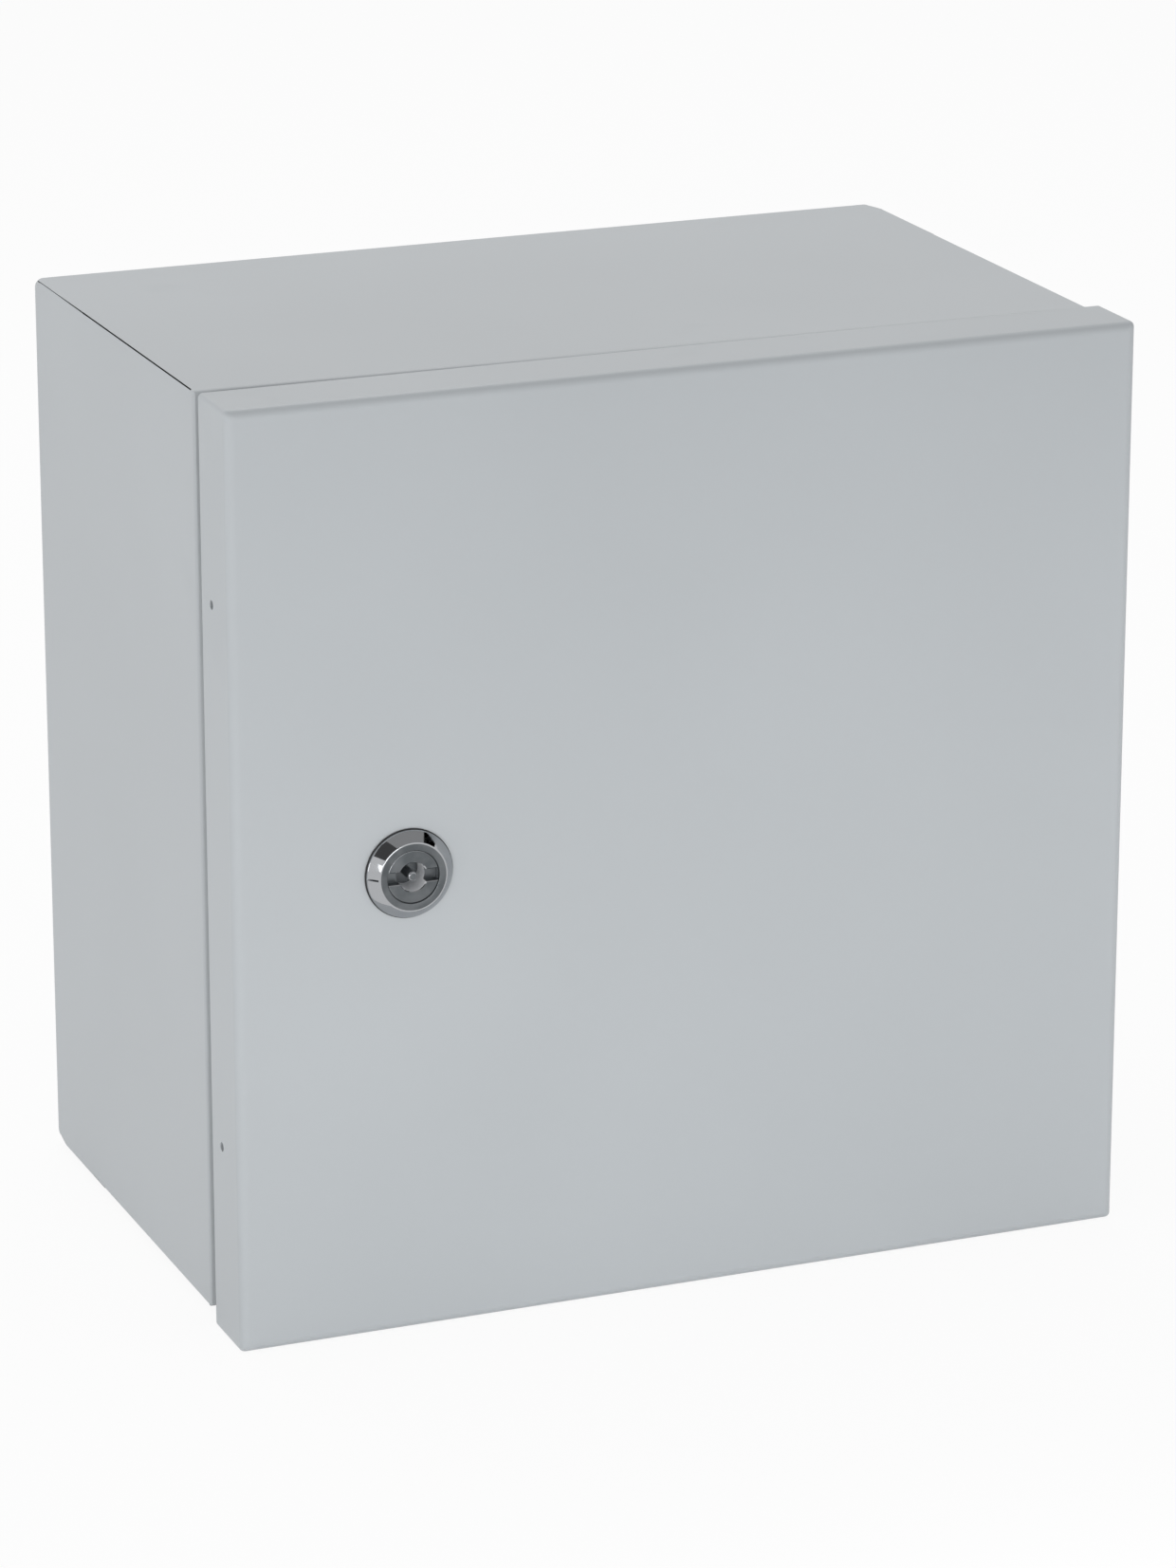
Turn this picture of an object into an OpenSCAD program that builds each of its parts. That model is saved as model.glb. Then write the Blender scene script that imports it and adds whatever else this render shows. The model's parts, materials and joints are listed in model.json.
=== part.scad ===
// Sheet-steel wall enclosure: a folded body with a rain gutter and a sealing rim, a folded
// door on two concealed hinges, a quarter-turn lock with a double-bit insert, a mounting
// plate and a gland plate.
// X is to the right seen from the front, Y points back into the wall and Z is up.
// The origin is the centre of the back face, on the wall.

/* [Body] */
// Width of the body
body_w = 300; // [250:10:500]
// Height of the body
body_h = 300; // [250:10:500]
// Depth from the wall to the door's front
total_depth = 200; // [160:5:300]
// Thickness of the body's sheet
body_sheet = 1.5; // [1.2:0.1:2]
// Outer radius of the body's bends
body_bend = 3; // [2.5:0.5:4]
// Width of the rain gutter, from the body's side to the sealing rim
gutter_w = 25; // [25:1:32]
// Width of the open seam along each depth edge
seam_w = 0.45; // [0.3:0.05:0.7]
// Width of the same seam where it closes towards the back
seam_back_w = 0.2; // [0.1:0.05:0.3]
// Depth of the seam
seam_depth = 0.9; // [0.5:0.1:1.2]
// Distance from the ends of the seam to the bends
seam_end = 0.5; // [0.3:0.1:2]
// Length of the tighter stretch of seam at the back
seam_back_len = 50; // [20:5:80]
// Diameter of the wall-fixing holes
wall_hole_d = 8.5; // [6:0.5:10]
// Distance of the wall-fixing holes from the body's sides
wall_hole_inset = 25; // [22:1:28]

/* [Door] */
// How far the door stands proud of each side of the body
door_over = 2; // [1.5:0.5:3]
// Depth of the door's flanges
flange_depth = 25; // [23:0.5:30]
// Thickness of the door's sheet
door_sheet = 1.5; // [1.2:0.1:2]
// Outer radius of the door's bends
door_bend = 3; // [2.5:0.5:4]
// Radius of the ground welds on the door's corners
door_corner_r = 1.5; // [0.5:0.5:2]
// Gap between the flanges' rear edge and the body's shoulder
shoulder_gap = 4.3; // [4:0.1:6]
// Diameter of the small holes in the side flanges
flange_hole_d = 3; // [2.5:0.1:4]
// Distance of the flange holes behind the door's front
flange_hole_back = 16; // [15.5:0.5:17]

/* [Seal] */
// Width of the foamed strip inside the door
gasket_w = 12; // [8:1:14]
// Thickness of the foamed strip
gasket_t = 5; // [4:0.5:6]
// Radius of the strip's edges
gasket_r = 2; // [1:0.5:2]
// Inner radius of the strip's corners
gasket_corner_r = 3; // [2:0.5:3]

/* [Hinges] */
// Distance of each hinge from the door's top or bottom edge
hinge_inset = 64; // [55:1:80]
// Distance of the hinge axis from the door's side face
pivot_inset = 9.5; // [9.5:0.5:10.5]
// Distance of the hinge axis ahead of the flanges' rear edge
pivot_ahead = 11; // [10:0.5:11.5]
// Diameter of the hinge pins
pin_d = 5; // [4:0.5:5]
// Diameter of the pins' heads
pin_head_d = 7; // [6:0.5:8]
// Wall of the knuckle around the pin
knuckle_wall = 2; // [1.5:0.1:2]
// Height of the knuckle
knuckle_h = 24; // [18:1:30]
// Thickness of the body leaf's plate and arm
leaf_t = 2; // [1.5:0.1:2]
// Height of both leaves' plates
leaf_h = 38; // [36:1:50]
// Radius of the corners of those plates
leaf_corner_r = 3; // [1:0.5:3]
// Height of the body leaf's arm where it leaves the plate
arm_root_h = 32; // [30:1:34]
// Radius of the fillets between the arm and the plate
arm_fillet = 1.5; // [0.5:0.5:1.5]
// Thickness of the door leaf's base
base_t = 2.5; // [2:0.1:2.5]
// Distance of that base from the flanges' rear edge
base_back = 4.5; // [4:0.5:8]
// Height of the door leaf's ears
ear_h = 3.5; // [3:0.5:5]
// Diameter of the screws that hold the body leaves
leaf_screw_d = 4; // [3:0.5:4]

/* [Lock] */
// Distance of the lock's axis from the door's free edge
lock_inset = 57; // [50:1:65]
// Diameter of the chromed rim where it meets the door
rim_d = 28.4; // [27:0.2:32]
// Diameter of the flat ring on the front of the rim
ring_d = 22.2; // [20:0.2:24]
// Height of the rim in front of the door
rim_h = 4; // [3:0.5:6]
// Thickness of the rim's outer edge
rim_edge = 0.6; // [0.4:0.1:1]
// Width of the parting line across the rim
rim_line_w = 0.4; // [0.2:0.05:0.6]
// Thickness of the sealing ring under the rim
lock_seal_t = 0.6; // [0.4:0.1:1.5]
// Diameter of the threaded barrel
barrel_d = 22; // [20:1:22]
// Width of the barrel across its two flats
barrel_flats = 20; // [19:0.5:20]
// Length of the barrel behind the door
barrel_len = 18; // [16:1:20]
// Thickness of the nut on the barrel
lock_nut_t = 4; // [3:0.5:6]
// Wall of the same nut at its flats
lock_nut_wall = 2.5; // [2:0.5:3]
// Diameter of the turning insert
insert_d = 17; // [15:0.5:18]
// Chamfer around the front of the insert
insert_edge = 0.4; // [0.2:0.1:0.6]
// Diameter of the key recess
recess_d = 9.4; // [8:0.2:10]
// Width of the two wings of the key recess
wing_w = 4; // [3:0.2:4.5]
// Depth of the key recess
recess_depth = 9; // [6:1:12]
// Depth of its two wings
wing_depth = 3; // [2:0.5:4]
// Diameter of the pin in the middle of the recess
guide_pin_d = 3; // [2.5:0.5:5]
// Width of the square that drives the cam
square_w = 8; // [7:0.5:9]
// Length of the cam from the lock's axis to its tip
cam_len = 42; // [40:1:46]
// Width of the cam
cam_w = 16; // [14:1:20]
// Thickness of the cam
cam_t = 2.5; // [2:0.5:3]
// Distance from the lock's axis to the cam's first bend
cam_bend = 14; // [12:1:15]
// Diameter of the screw that holds the cam
cam_screw_d = 5; // [4:1:5]
// Diameter of the washer under that screw
cam_washer_d = 15; // [14:0.5:16]
// Gap between the locked cam and the back of the gutter
cam_gap = 2; // [1.5:0.1:3]

/* [Mounting plate] */
// Gap between the mounting plate and the rim's opening on each side
plate_clear = 3.5; // [2:0.5:10]
// Thickness of the mounting plate
plate_t = 2; // [1.5:0.5:3]
// Distance of the mounting plate from the body's back
plate_standoff = 15; // [10:1:30]
// Distance of the mounting plate's holes from its edges
plate_hole_inset = 14; // [13:1:20]
// Length of the cut across the mounting plate's corners
plate_corner = 10; // [5:1:12]
// Diameter of the studs that carry the mounting plate
plate_stud_d = 8; // [6:1:8]
// Diameter of the collar on each stud
plate_collar_d = 13; // [12:0.5:14]

/* [Gland plate] */
// Width of the opening in the bottom
gland_open_w = 170; // [100:10:180]
// Depth of the opening in the bottom
gland_open_d = 80; // [50:5:90]
// Radius of the opening's corners
gland_open_r = 4; // [2:1:5]
// Margin of the gland plate around the opening
gland_margin = 17; // [15:1:18]
// Radius of the gland plate's corners
gland_corner_r = 6; // [3:1:8]
// Thickness of the gland plate
gland_t = 1.5; // [1.2:0.1:3]
// Thickness of the gland plate's seal
gland_seal_t = 2; // [1:0.5:3]
// Distance of the opening's middle in front of the wall
gland_back = 88; // [85:1:100]
// Diameter of the studs that hold the gland plate
gland_stud_d = 5; // [4:1:5]

/* [Earthing] */
// Diameter of the earth studs
earth_d = 6; // [5:1:8]
// Length of the earth studs
earth_len = 14; // [12:1:16]
// Distance of the earth studs from the body's bottom
earth_up = 45; // [40:1:60]
// Distance of the body's earth stud behind the shoulder
earth_back = 25; // [20:1:60]
// Distance of the door's earth stud from the seal
earth_clear = 12; // [10:1:30]

/* [Hidden] */
$fn = 48;

// Gap between pieces that seat on each other across a joint
rest_gap = 0.3;
// Radial clearance of a turning fit
run_gap = 0.05;
// Radial clearance of a screw or stud in its hole
hole_gap = 0.2;
// Play of a flat sliding or hooked piece
play = 0.3;
// Extra length of a cutting tool past the face it cuts
over = 1;
// Cosine that turns a hexagon's width across flats into its corner radius
hex_cos = cos(30);
// Share of a hexagon's width that its chamfer leaves flat
face_share = 0.95;
// Slope of that chamfer
hex_slope = 0.3;
// Thickness of the flat washers
washer_t = 1.6;
// Depth of a countersunk head, in screw diameters
countersink = 0.45;
// Length of thread that stands past a nut, in thread diameters
thread_tail = 0.4;
// Share of the hinge arm's thickness that lies ahead of the hinge axis
arm_lead = 0.8;
// Distance of a leaf's screws from its ends, in screw diameters
screw_edge = 1.5;

// Width of a hexagon nut across its flats: 7, 8, 10 and 13 for M4, M5, M6 and M8
function nut_af(d) = round(1.5 * d + 0.8);

// Thickness of the same nut
function nut_t(d) = 0.8 * d;

// Height of a hexagon screw's head
function head_t(d) = 0.7 * d;

// Stations along Y, from the door's front to the wall
door_front = -total_depth;
door_inside = door_front + door_sheet;
flange_rear = door_front + flange_depth;
shoulder = flange_rear + shoulder_gap;
shoulder_inside = shoulder + body_sheet;
gasket_rear = door_inside + gasket_t;
rim_tip = gasket_rear + rest_gap;

// Sizes across the front
door_w = body_w + 2 * door_over;
door_h = body_h + 2 * door_over;
rim_x = body_w / 2 - gutter_w;
opening_w = body_w - 2 * (gutter_w + body_sheet);
opening_h = body_h - 2 * (gutter_w + body_sheet);
gasket_inset = gutter_w + (body_sheet - gasket_w) / 2;

// Hinge axis, and what hangs on it, in X and Y from that axis
hinge_x = door_w / 2 - pivot_inset;
hinge_y = flange_rear - pivot_ahead;
hinge_z = door_h / 2 - hinge_inset;
knuckle_r = pin_d / 2 + knuckle_wall;
leaf_x = rim_x - hinge_x;
leaf_front = rim_tip - hinge_y + body_sheet;
leaf_rear = shoulder - hinge_y - body_bend;
arm_front = -leaf_t * arm_lead;
screw_y = (arm_front + leaf_t + leaf_rear) / 2;
screw_z = leaf_h / 2 - leaf_screw_d * screw_edge;
base_x = pivot_inset - door_sheet - base_t;
base_front = door_inside - hinge_y + door_bend - door_sheet + play;
base_rear = pivot_ahead - base_back;
ear_z = knuckle_h / 2 + play;
rivet_y = door_front + flange_hole_back - hinge_y;
rivet_head_d = flange_hole_d * 2;

// Lock
lock_x = lock_inset - door_w / 2;
seat_y = door_front - lock_seal_t;
ring_y = seat_y - rim_h;
barrel_end = door_inside + barrel_len;
cam_y = barrel_end + play;
cam_step = shoulder_inside + cam_gap - cam_y;

// Mounting plate
plate_w = opening_w - 2 * plate_clear;
plate_h = opening_h - 2 * plate_clear;
plate_rear = -body_sheet - plate_standoff;
plate_front = plate_rear - plate_t;
plate_x = plate_w / 2 - plate_hole_inset;
plate_z = plate_h / 2 - plate_hole_inset;

// Gland plate
bottom_inside = body_sheet - body_h / 2;
gland_under = bottom_inside + gland_seal_t;
gland_w = gland_open_w + 2 * gland_margin;
gland_d = gland_open_d + 2 * gland_margin;
gland_x = (gland_open_w + gland_margin) / 2;
gland_y = (gland_open_d + gland_margin) / 2;

// Earth studs
earth_z = earth_up - body_h / 2;
body_earth_y = shoulder_inside + earth_back;
door_earth_x = rim_x - gasket_w - earth_clear;

// ---------------------------------------------------------------- shared shapes

// A quarter of a bent sheet, from the X axis to the Y axis
module bend_quarter(r, sheet) {
  intersection() {
    difference() {
      circle(r);
      circle(r - sheet);
    }
    square(r);
  }
}

// One side of a folded frame: the profile's x is the distance in from the side, and its
// ends are cut at 45 degrees
module mitred_side(w, h) {
  reach = min(w, h) / 2;
  intersection() {
    translate([w / 2, 0, 0])
      mirror([1, 0, 0])
        linear_extrude(h, center = true)
          children();
    rotate([90, 0, 0])
      linear_extrude(4 * total_depth, center = true)
        polygon([
          [w / 2, h / 2], [w / 2, -h / 2],
          [w / 2 - reach, reach - h / 2], [w / 2 - reach, h / 2 - reach]
        ]);
  }
}

// A profile folded around all four sides of a rectangle
module mitred_frame(w, h) {
  mitred_side(w, h) children();
  rotate([0, 180, 0]) mitred_side(w, h) children();
  rotate([0, -90, 0]) mitred_side(h, w) children();
  rotate([0, 90, 0]) mitred_side(h, w) children();
}

// One side of a frame with round corners, with the corner at its lower end: the profile's x
// is the distance in from the side, and the corner turns about a point at centre from it
module round_side(w, h, centre) {
  run = h - 2 * centre;
  translate([w / 2, 0, 0])
    mirror([1, 0, 0])
      linear_extrude(run, center = true)
        children();
  translate([w / 2 - centre, 0, -run / 2])
    along_y()
      rotate_extrude(angle = 90)
        translate([centre, 0])
          mirror([1, 0])
            children();
}

// A profile that runs around all four sides of a rectangle and its round corners
module round_frame(w, h, centre) {
  round_side(w, h, centre) children();
  rotate([0, 180, 0]) round_side(w, h, centre) children();
  rotate([0, 90, 0]) round_side(h, w, centre) children();
  rotate([0, -90, 0]) round_side(h, w, centre) children();
}

// Turns a solid made along Z so that it lies along +Y
module along_y() {
  rotate([-90, 0, 0]) children();
}

// Puts a copy at each corner of a rectangle in X and Z
module at_corners(x, z) {
  for (sx = [-1, 1])
    for (sz = [-1, 1])
      translate([sx * x, 0, sz * z]) children();
}

// A rectangle with round corners, made of plain squares and circles
module rounded_rect(w, h, r) {
  square([w - 2 * r, h], center = true);
  square([w, h - 2 * r], center = true);
  for (sx = [-1, 1])
    for (sy = [-1, 1])
      translate([sx * (w / 2 - r), sy * (h / 2 - r)]) circle(r);
}

// A plain round stud with a chamfered tip, standing up from z = 0
module stud(d, len) {
  tip = d / 8;
  cylinder(h = len - tip, d = d);
  translate([0, 0, len - tip])
    cylinder(h = tip, d1 = d, d2 = d - 2 * tip);
}

// A hexagon with both ends chamfered, standing up from z = 0
module hex_body(af, t) {
  corner_r = af / 2 / hex_cos;
  face_r = face_share * af / 2;
  reach = corner_r / face_share;
  drop = (reach - face_r) * hex_slope;
  intersection() {
    cylinder(h = t, r = corner_r, $fn = 6);
    rotate_extrude()
      polygon([
        [0, 0], [face_r, 0], [reach, drop], [reach, t - drop], [face_r, t], [0, t]
      ]);
  }
}

// A hexagon with a hole of diameter d
module ring_nut(d, af, t) {
  difference() {
    hex_body(af, t);
    translate([0, 0, -over]) cylinder(h = t + 2 * over, d = d);
  }
}

// A standard nut on a thread of diameter d
module hex_nut(d) {
  ring_nut(d, nut_af(d), nut_t(d));
}

// A flat washer for a thread of diameter d
module washer(d, outer) {
  difference() {
    cylinder(h = washer_t, d = outer);
    translate([0, 0, -over]) cylinder(h = washer_t + 2 * over, r = d / 2 + hole_gap);
  }
}

// ---------------------------------------------------------------- body

// The body's folded sheet, from the back bend round the shoulder to the sealing rim
module body_profile() {
  translate([0, shoulder + body_bend])
    square([body_sheet, -shoulder - 2 * body_bend]);
  translate([body_bend, -body_bend])
    mirror([1, 0]) bend_quarter(body_bend, body_sheet);
  translate([body_bend, -body_sheet])
    square([body_bend, body_sheet]);
  translate([body_bend, shoulder + body_bend])
    mirror([1, 0]) mirror([0, 1]) bend_quarter(body_bend, body_sheet);
  translate([body_bend, shoulder])
    square([gutter_w + body_sheet - 2 * body_bend, body_sheet]);
  translate([gutter_w + body_sheet - body_bend, shoulder_inside - body_bend])
    bend_quarter(body_bend, body_sheet);
  translate([gutter_w, rim_tip])
    square([body_sheet, shoulder_inside - body_bend - rim_tip]);
}

// The welded seams along the four depth edges, open in front and tighter at the back
module body_seams() {
  front = shoulder + body_bend + seam_end;
  reach = seam_depth * sqrt(2);
  tight = -body_bend - seam_end - seam_back_len;
  for (sx = [-1, 1])
    for (sz = [-1, 1])
      translate([sx * body_w / 2, 0, sz * body_h / 2])
        rotate([0, -sx * sz * 45, 0]) {
          translate([-reach, front, -seam_w / 2])
            cube([2 * reach, tight - front, seam_w]);
          translate([-reach, tight, -seam_back_w / 2])
            cube([2 * reach, seam_back_len, seam_back_w]);
        }
}

// Rounds the corners of the back, where its bends are welded and ground to a ball
module back_corner_cut() {
  for (mx = [0, 1])
    for (mz = [0, 1])
      mirror([mx, 0, 0])
        mirror([0, 0, mz])
          translate([body_w / 2 - body_bend, -body_bend, body_h / 2 - body_bend])
            difference() {
              cube(body_bend + over);
              sphere(body_bend);
            }
}

// The flat of the back with its wall-fixing holes
module back_plate() {
  difference() {
    translate([body_bend - body_w / 2, -body_sheet, body_bend - body_h / 2])
      cube([body_w - 2 * body_bend, body_sheet, body_h - 2 * body_bend]);
    at_corners(body_w / 2 - wall_hole_inset, body_h / 2 - wall_hole_inset)
      translate([0, -body_sheet - over, 0])
        along_y() cylinder(h = body_sheet + 2 * over, d = wall_hole_d);
  }
}

// The four folded walls with the seams at their corners and the holes for the hinges
module body_walls() {
  difference() {
    mitred_frame(body_w, body_h) body_profile();
    body_seams();
    back_corner_cut();
    at_leaf_screws()
      translate([-leaf_t - body_sheet - over, 0, 0])
        rotate([0, 90, 0])
          cylinder(h = body_sheet + 2 * over, r = leaf_screw_d / 2 + hole_gap);
  }
}

module body_shell() {
  color([0.72, 0.74, 0.76])
    union() {
      difference() {
        body_walls();
        translate([0, 0, -body_h / 2 - over])
          linear_extrude(body_sheet + 2 * over)
            gland_opening();
      }
      back_plate();
    }
}

// ---------------------------------------------------------------- door

module door_profile() {
  translate([0, door_front + door_bend])
    square([door_sheet, flange_depth - door_bend]);
  translate([door_bend, door_front + door_bend])
    mirror([1, 0]) mirror([0, 1]) bend_quarter(door_bend, door_sheet);
  translate([door_bend, door_front])
    square([door_bend, door_sheet]);
}

// The hole that keeps the lock's barrel from turning, along Y
module lock_hole(gap, len) {
  intersection() {
    along_y() cylinder(h = len, r = barrel_d / 2 + gap);
    translate([-barrel_d, 0, -barrel_flats / 2 - gap])
      cube([2 * barrel_d, len, barrel_flats + 2 * gap]);
  }
}

module door() {
  color([0.72, 0.74, 0.76])
    difference() {
      intersection() {
        union() {
          mitred_frame(door_w, door_h) door_profile();
          translate([door_bend - door_w / 2, door_front, door_bend - door_h / 2])
            cube([door_w - 2 * door_bend, door_sheet, door_h - 2 * door_bend]);
        }
        translate([0, flange_rear + over, 0])
          rotate([90, 0, 0])
            linear_extrude(flange_depth + 2 * over)
              rounded_rect(door_w, door_h, door_corner_r);
      }
      translate([lock_x, door_front - over, 0])
        lock_hole(hole_gap, door_sheet + 2 * over);
      for (sz = [-1, 1])
        translate([-door_w / 2 - over, door_front + flange_hole_back, sz * hinge_z])
          rotate([0, 90, 0]) cylinder(h = door_w + 2 * over, d = flange_hole_d);
    }
}

// The foamed strip, flat on the door and rounded towards the rim
module gasket_profile() {
  translate([gasket_inset, door_inside]) {
    square([gasket_w, gasket_t - gasket_r]);
    translate([gasket_r, 0]) square([gasket_w - 2 * gasket_r, gasket_t]);
    for (x = [gasket_r, gasket_w - gasket_r])
      translate([x, gasket_t - gasket_r]) circle(gasket_r);
  }
}

module door_gasket() {
  centre = gasket_inset + gasket_w + gasket_corner_r;
  color([0.16, 0.16, 0.17])
    round_frame(body_w, body_h, centre) gasket_profile();
}

// ---------------------------------------------------------------- hinges

module at_hinge(side) {
  translate([hinge_x, hinge_y, side * hinge_z]) children();
}

// Places a copy at each screw of the body leaves, on the face of the leaf
module at_leaf_screws() {
  for (side = [-1, 1])
    for (sz = [-1, 1])
      at_hinge(side)
        translate([leaf_x + leaf_t, screw_y, sz * screw_z]) children();
}

module leaf_screw() {
  head = leaf_screw_d * countersink;
  rotate([0, -90, 0]) {
    cylinder(h = head, r1 = leaf_screw_d / 2 + head, r2 = leaf_screw_d / 2);
    translate([0, 0, head])
      cylinder(h = leaf_t + body_sheet + leaf_screw_d - head, d = leaf_screw_d);
  }
}

// The plate of a leaf, with round corners, from x = 0
module leaf_plate(t, front, rear) {
  translate([0, (front + rear) / 2, 0])
    rotate([0, 90, 0])
      linear_extrude(t)
        rounded_rect(leaf_h, rear - front, leaf_corner_r);
}

// The arm from the plate to the knuckle: it narrows clear of the ears that turn beside it
module leaf_arm() {
  translate([0, arm_front + leaf_t, 0])
    rotate([90, 0, 0])
      linear_extrude(leaf_t)
        polygon([
          [leaf_x, -arm_root_h / 2], [-2 * knuckle_r, -knuckle_h / 2], [0, -knuckle_h / 2],
          [0, knuckle_h / 2], [-2 * knuckle_r, knuckle_h / 2], [leaf_x, arm_root_h / 2]
        ]);
}

// The fillets on both sides of the arm, where it leaves the plate
module arm_fillets() {
  for (side = [0, 1])
    translate([leaf_x + leaf_t, arm_front + leaf_t / 2, 0])
      mirror([0, side, 0])
        translate([0, leaf_t / 2, 0])
          linear_extrude(knuckle_h, center = true)
            difference() {
              square(arm_fillet);
              translate([arm_fillet, arm_fillet]) circle(arm_fillet);
            }
}

// Cast leaf on the body: a plate on the sealing rim, an arm and the knuckle
module body_leaf() {
  head = leaf_screw_d * countersink;
  color([0.62, 0.63, 0.64])
    difference() {
      union() {
        translate([leaf_x, 0, 0]) leaf_plate(leaf_t, leaf_front, leaf_rear);
        leaf_arm();
        arm_fillets();
        cylinder(h = knuckle_h, r = knuckle_r, center = true);
      }
      cylinder(h = knuckle_h + 2 * over, r = pin_d / 2 + run_gap, center = true);
      for (sz = [-1, 1])
        translate([leaf_x + leaf_t, screw_y, sz * screw_z])
          rotate([0, -90, 0]) {
            cylinder(h = head, r1 = leaf_screw_d / 2 + head, r2 = leaf_screw_d / 2);
            cylinder(h = leaf_t + over, d = leaf_screw_d);
          }
    }
}

// Cast leaf on the door: a base on the side flange and two ears around the pin
module door_leaf() {
  tail = base_t / 2;
  color([0.62, 0.63, 0.64])
    difference() {
      union() {
        translate([base_x, 0, 0]) leaf_plate(base_t, base_front, base_rear);
        for (sz = [-1, 1])
          translate([0, 0, sz * (ear_z + ear_h / 2)])
            linear_extrude(ear_h, center = true) {
              circle(knuckle_r);
              translate([0, -knuckle_r]) square([base_x, 2 * knuckle_r]);
            }
      }
      cylinder(h = 2 * leaf_h, d = pin_d, center = true);
      translate([base_x, rivet_y, 0])
        rotate([0, 90, 0]) {
          cylinder(h = tail, r1 = flange_hole_d / 2 + tail, r2 = flange_hole_d / 2);
          translate([0, 0, -over]) cylinder(h = base_t + 2 * over, d = flange_hole_d);
        }
    }
}

module hinge_pin() {
  half = ear_z + ear_h;
  head_h = pin_d / 4;
  color([0.75, 0.75, 0.76]) {
    translate([0, 0, -half]) cylinder(h = 2 * half, d = pin_d);
    translate([0, 0, half]) cylinder(h = head_h, d1 = pin_head_d, d2 = pin_d);
  }
}

module leaf_screws() {
  color([0.75, 0.75, 0.76])
    at_leaf_screws() leaf_screw();
}

module leaf_nuts() {
  color([0.75, 0.75, 0.76])
    at_leaf_screws()
      translate([-leaf_t - body_sheet, 0, 0])
        rotate([0, -90, 0])
          hex_nut(leaf_screw_d);
}

// Rivets through the side flange, domed outside and flush in the leaf
module leaf_rivets() {
  tail = base_t / 2;
  grip = door_sheet + base_t;
  dome = rivet_head_d / 4;
  color([0.72, 0.74, 0.76])
    for (side = [-1, 1])
      at_hinge(side)
        translate([base_x, rivet_y, 0])
          rotate([0, 90, 0]) {
            cylinder(h = tail, r1 = flange_hole_d / 2 + tail, r2 = flange_hole_d / 2);
            cylinder(h = grip, d = flange_hole_d);
            translate([0, 0, grip])
              cylinder(h = dome, d1 = rivet_head_d, d2 = rivet_head_d - 2 * dome);
          }
}

// ---------------------------------------------------------------- lock

// Places along the lock's axis, with z turned into +Y and the key's side at the front
module at_lock(y) {
  translate([lock_x, y, 0]) along_y() children();
}

module lock_housing() {
  front = ring_y - seat_y;
  color([0.8, 0.81, 0.82])
    difference() {
      union() {
        translate([lock_x, seat_y, 0])
          lock_hole(0, barrel_end - seat_y);
        at_lock(seat_y)
          rotate_extrude()
            polygon([
              [0, front], [ring_d / 2, front],
              [rim_d / 2, -rim_edge], [rim_d / 2, 0], [0, 0]
            ]);
      }
      at_lock(ring_y - over)
        cylinder(h = barrel_end - ring_y + 2 * over, r = insert_d / 2 + run_gap);
      translate([lock_x - rim_d, seat_y - rim_h / 2 - over, -rim_line_w / 2])
        cube([rim_d - ring_d / 2 - play, rim_h / 2 + over, rim_line_w]);
    }
}

module lock_seal_ring() {
  color([0.1, 0.1, 0.1])
    at_lock(seat_y)
      difference() {
        cylinder(h = lock_seal_t, r = rim_d / 2 - play);
        translate([0, 0, -over])
          cylinder(h = lock_seal_t + 2 * over, d = barrel_d);
      }
}

module lock_nut() {
  color([0.75, 0.75, 0.76])
    at_lock(door_inside) ring_nut(barrel_d, barrel_d + 2 * lock_nut_wall, lock_nut_t);
}

// The turning insert with its double-bit recess, guide pin and driving square
module lock_insert() {
  face = ring_y + play;
  tapped = 2 * cam_screw_d;
  color([0.6, 0.61, 0.62])
    difference() {
      union() {
        at_lock(face)
          cylinder(h = insert_edge, d1 = insert_d - 2 * insert_edge, d2 = insert_d);
        at_lock(face + insert_edge)
          cylinder(h = barrel_end - face - insert_edge, d = insert_d);
        translate([lock_x - square_w / 2, barrel_end, -square_w / 2])
          cube([square_w, play + cam_t - rest_gap, square_w]);
      }
      difference() {
        union() {
          at_lock(face - over) cylinder(h = recess_depth + over, d = recess_d);
          translate([lock_x - insert_d, face - over, -wing_w / 2])
            cube([2 * insert_d, wing_depth + over, wing_w]);
        }
        at_lock(face + play) guide_pin();
      }
      at_lock(barrel_end - tapped)
        cylinder(h = tapped + 2 * cam_t, d = cam_screw_d);
    }
}

// The guide pin stands in the recess with its chamfered end to the front
module guide_pin() {
  tip = guide_pin_d / 6;
  cylinder(h = tip, d1 = guide_pin_d - 2 * tip, d2 = guide_pin_d);
  translate([0, 0, tip]) cylinder(h = recess_depth, d = guide_pin_d);
}

// The cam hangs down when unlocked; its tip is set back so that it turns behind the gutter
module lock_cam() {
  reach = cam_bend + cam_step;
  color([0.72, 0.72, 0.73])
    translate([lock_x, cam_y, 0])
      difference() {
        union() {
          along_y() cylinder(h = cam_t, d = cam_w);
          intersection() {
            rotate([0, 90, 0])
              linear_extrude(cam_w, center = true)
                polygon([
                  [0, 0], [cam_bend, 0], [reach, cam_step], [cam_len, cam_step],
                  [cam_len, cam_step + cam_t], [reach - cam_t / 2, cam_step + cam_t],
                  [cam_bend - cam_t / 2, cam_t], [0, cam_t]
                ]);
            rotate([90, 0, 0])
              translate([0, 0, -2 * total_depth])
                linear_extrude(4 * total_depth) {
                  translate([-cam_w / 2, cam_w / 2 - cam_len]) square([cam_w, cam_len]);
                  translate([0, cam_w / 2 - cam_len]) circle(d = cam_w);
                }
          }
        }
        translate([-square_w / 2, -over, -square_w / 2])
          cube([square_w, cam_t + 2 * over, square_w]);
      }
}

module cam_washer() {
  color([0.75, 0.75, 0.76])
    at_lock(cam_y + cam_t) washer(cam_screw_d, cam_washer_d);
}

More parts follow.
